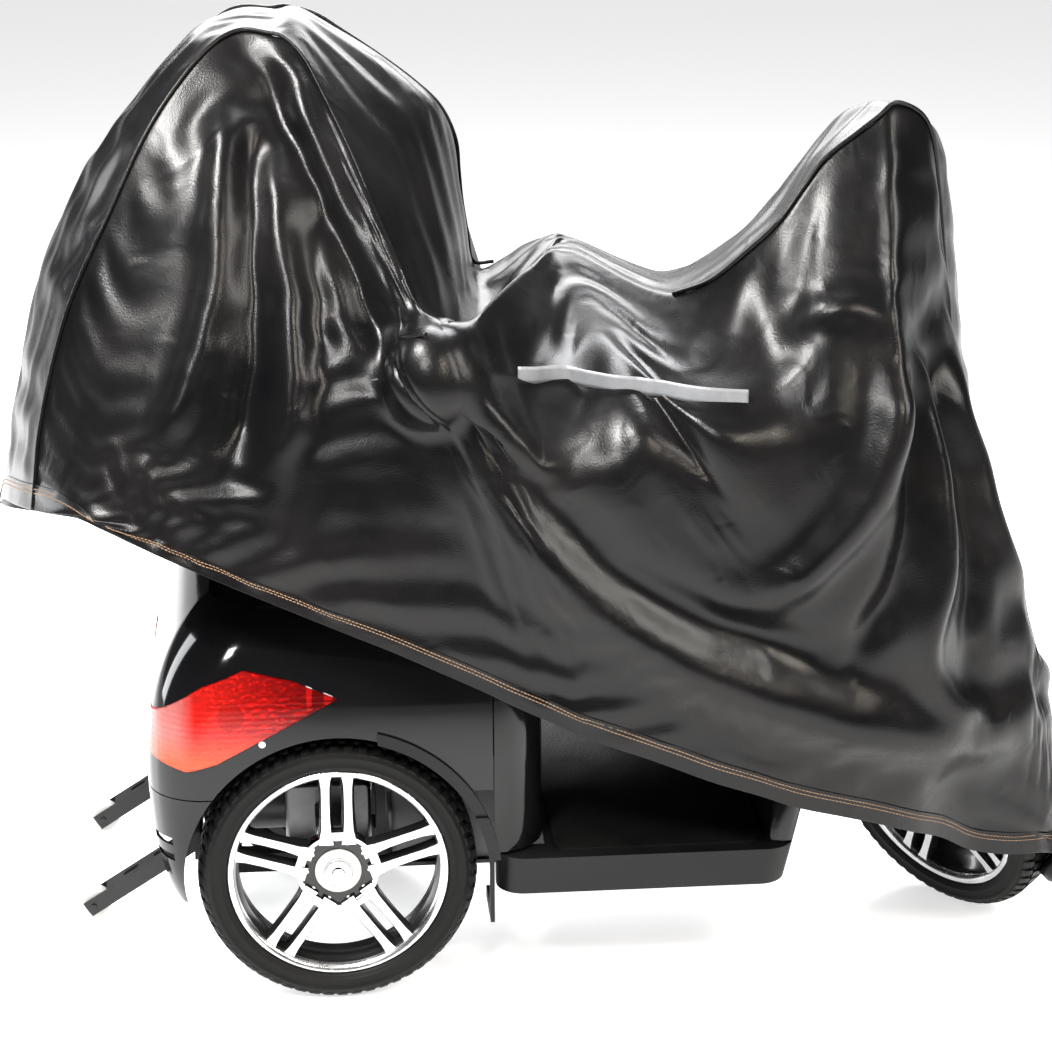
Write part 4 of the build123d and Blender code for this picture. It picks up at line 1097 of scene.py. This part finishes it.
def hungGrid(piece, rows, across):
    # the hung cloth's points, back in millimetres in the maker's frame
    toShop = np.array(shop.inverted())
    flat = np.array([v.co for v in piece.data.vertices])
    return (flat @ toShop[:3, :3].T + toShop[:3, 3]).reshape(rows, across, 3)


def edgeRuns(grid):
    # the four hems, each as a list of lines that run inward from the edge
    near = [grid[r, :8] for r in range(len(grid))]
    front = [grid[::-1][:8, c] for c in range(grid.shape[1])]
    far = [grid[r, ::-1][:8] for r in range(len(grid))][::-1]
    rear = [grid[:8, c] for c in range(grid.shape[1])][::-1]
    return [near, front, far, rear]


def atDepth(line, depth):
    along = runLengths(line)
    return alongRun(min(depth, along[-1]), along, line)


def cornerFade(count, n):
    # the inward lines shorten towards a corner, so that bands mitre there instead of crossing
    return min(1.0, n / 6, (count - 1 - n) / 6)


def sewHem(grid):
    normal = outwardNormals(grid)
    raised = grid + normal * coverShape["hemRise"]
    sewn = grid + normal * coverShape["stitchRise"]
    bands, threads = [], []
    for run, threadRun in zip(edgeRuns(raised), edgeRuns(sewn)):
        count = len(run)
        depths = [coverShape["hemBand"] * f for f in (0.0, 0.04, 0.34, 0.67, 0.97, 1.0)]
        strip = []
        for n, line in enumerate(run):
            fade = max(0.05, cornerFade(count, n))
            strip.append([atDepth(line, d * fade) for d in depths])
        bands.append(([p for row in strip for p in row], gridFaces(count, len(depths)), 0))
        for depth in coverShape["hemStitch"]:
            thread = [atDepth(line, depth * max(0.05, cornerFade(count, n)))
                      for n, line in enumerate(threadRun)]
            thread = np.array(thread[4:-4])
            along = runLengths(thread)
            for start in np.arange(2, along[-1] - 6, coverShape["stitchPitch"]):
                ends = alongRun(start + coverShape["stitchLength"] * np.array([0, 0.5, 1]), along, thread)
                threads.append((*tubeMesh(ends, coverShape["threadRadius"], 5), 0))
    vertices, faces, _ = joinParts(bands)
    band = coverPiece("cover_hem_band", vertices, faces)
    addModifier(band, "SOLIDIFY", thickness=0.0012, offset=0)
    vertices, faces, _ = joinParts(threads)
    stitching = coverPiece("cover_hem_stitching", vertices, faces, "hem_thread")
    return [band, stitching]


def pipeSeams(grid, ribAt):
    # corded piping along the two long seams, over the seat and again over the tiller
    raised = grid + outwardNormals(grid) * coverShape["pipeRise"]
    pipes = []
    nearSeam = coverShape["nearCells"]
    farSeam = nearSeam + coverShape["topCells"]
    for column in (nearSeam, farSeam):
        for first, last in coverShape["pipeRibs"]:
            line = raised[ribAt[first]:ribAt[last] + 1, column]
            pipes.append((*tubeMesh(throughPoints(line[::3], 260), coverShape["pipeRadius"], 8), 0))
    vertices, faces, _ = joinParts(pipes)
    return coverPiece("cover_piping", vertices, faces)


tape = {"from": (263, 962), "to": (572, 944), "high": 24.0, "cells": 60, "rise": 3.0, "bridge": 5}


def layTape(piece):
    # a woven reflective strip, straight when seen from the side, bonded to the near panel
    flat = [tuple(v.co) for v in piece.data.vertices]
    skin = BVHTree.FromPolygons(flat, [tuple(p.vertices) for p in piece.data.polygons])
    vertices = []
    for n in range(tape["cells"] + 1):
        t = n / tape["cells"]
        x = tape["from"][0] * (1 - t) + tape["to"][0] * t
        z = tape["from"][1] * (1 - t) + tape["to"][1] * t
        for k in range(5):
            start = shop @ Vector((x, -700, z + tape["high"] * (k / 4 - 0.5)))
            hit, normal, _, _ = skin.ray_cast(start, Vector((0, 1, 0)))
            vertices.append(hit)
    laid = np.array(vertices).reshape(tape["cells"] + 1, 5, 3)
    depth = laid[:, :, 1].copy()
    reach = tape["bridge"]
    for n in range(tape["cells"] + 1):
        window = slice(max(0, n - reach), n + reach + 1)
        laid[n, :, 1] = depth[window].min() * 0.5 + depth[window].mean() * 0.5 - tape["rise"] * mm
    faces = gridFaces(tape["cells"] + 1, 5)
    toShop = shop.inverted()
    vertices = [toShop @ Vector(v) for v in laid.reshape(-1, 3)]
    strip = coverPiece("cover_reflective_tape", vertices, faces, "tape")
    addModifier(strip, "SOLIDIFY", thickness=0.0009, offset=0)
    return strip


def makeThreadFinish():
    finish, tree, links, shader = newFinish("tanThread")
    twist = noiseNode(tree, links, 900)
    shade = ramped(tree, links, twist.outputs["Fac"], ((0.3, (0.12, 0.07, 0.04)), (0.7, (0.3, 0.19, 0.11))))
    links.new(shade, shader.inputs["Base Color"])
    links.new(bumped(tree, links, twist.outputs["Fac"], 0.8, 0.0003), shader.inputs["Normal"])
    shader.inputs["Roughness"].default_value = 0.7
    return finish


def makeTapeFinish():
    finish, tree, links, shader = newFinish("reflectiveTape")
    weave = cellNode(tree, links, 700)
    broad = noiseNode(tree, links, 25)
    shade = ramped(tree, links, broad.outputs["Fac"],
                   ((0.3, (0.15, 0.155, 0.165)), (0.7, (0.22, 0.225, 0.235))))
    links.new(shade, shader.inputs["Base Color"])
    links.new(bumped(tree, links, weave.outputs["Distance"], 0.5, 0.0002), shader.inputs["Normal"])
    shader.inputs["Roughness"].default_value = 0.45
    shader.inputs["Metallic"].default_value = 0.25
    return finish


finishes["hem_thread"] = makeThreadFinish()
finishes["tape"] = makeTapeFinish()
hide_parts("cover")
hung = hungGrid(cover, coverRows, coverAcross)
trims = sewHem(hung) + [pipeSeams(hung, ribAt), layTape(cover)]
addModifier(cover, "SOLIDIFY", thickness=coverShape["thickness"], offset=0)
applyModifiers(cover)
addModifier(cover, "SUBSURF", levels=1, render_levels=1)
print("cover done")
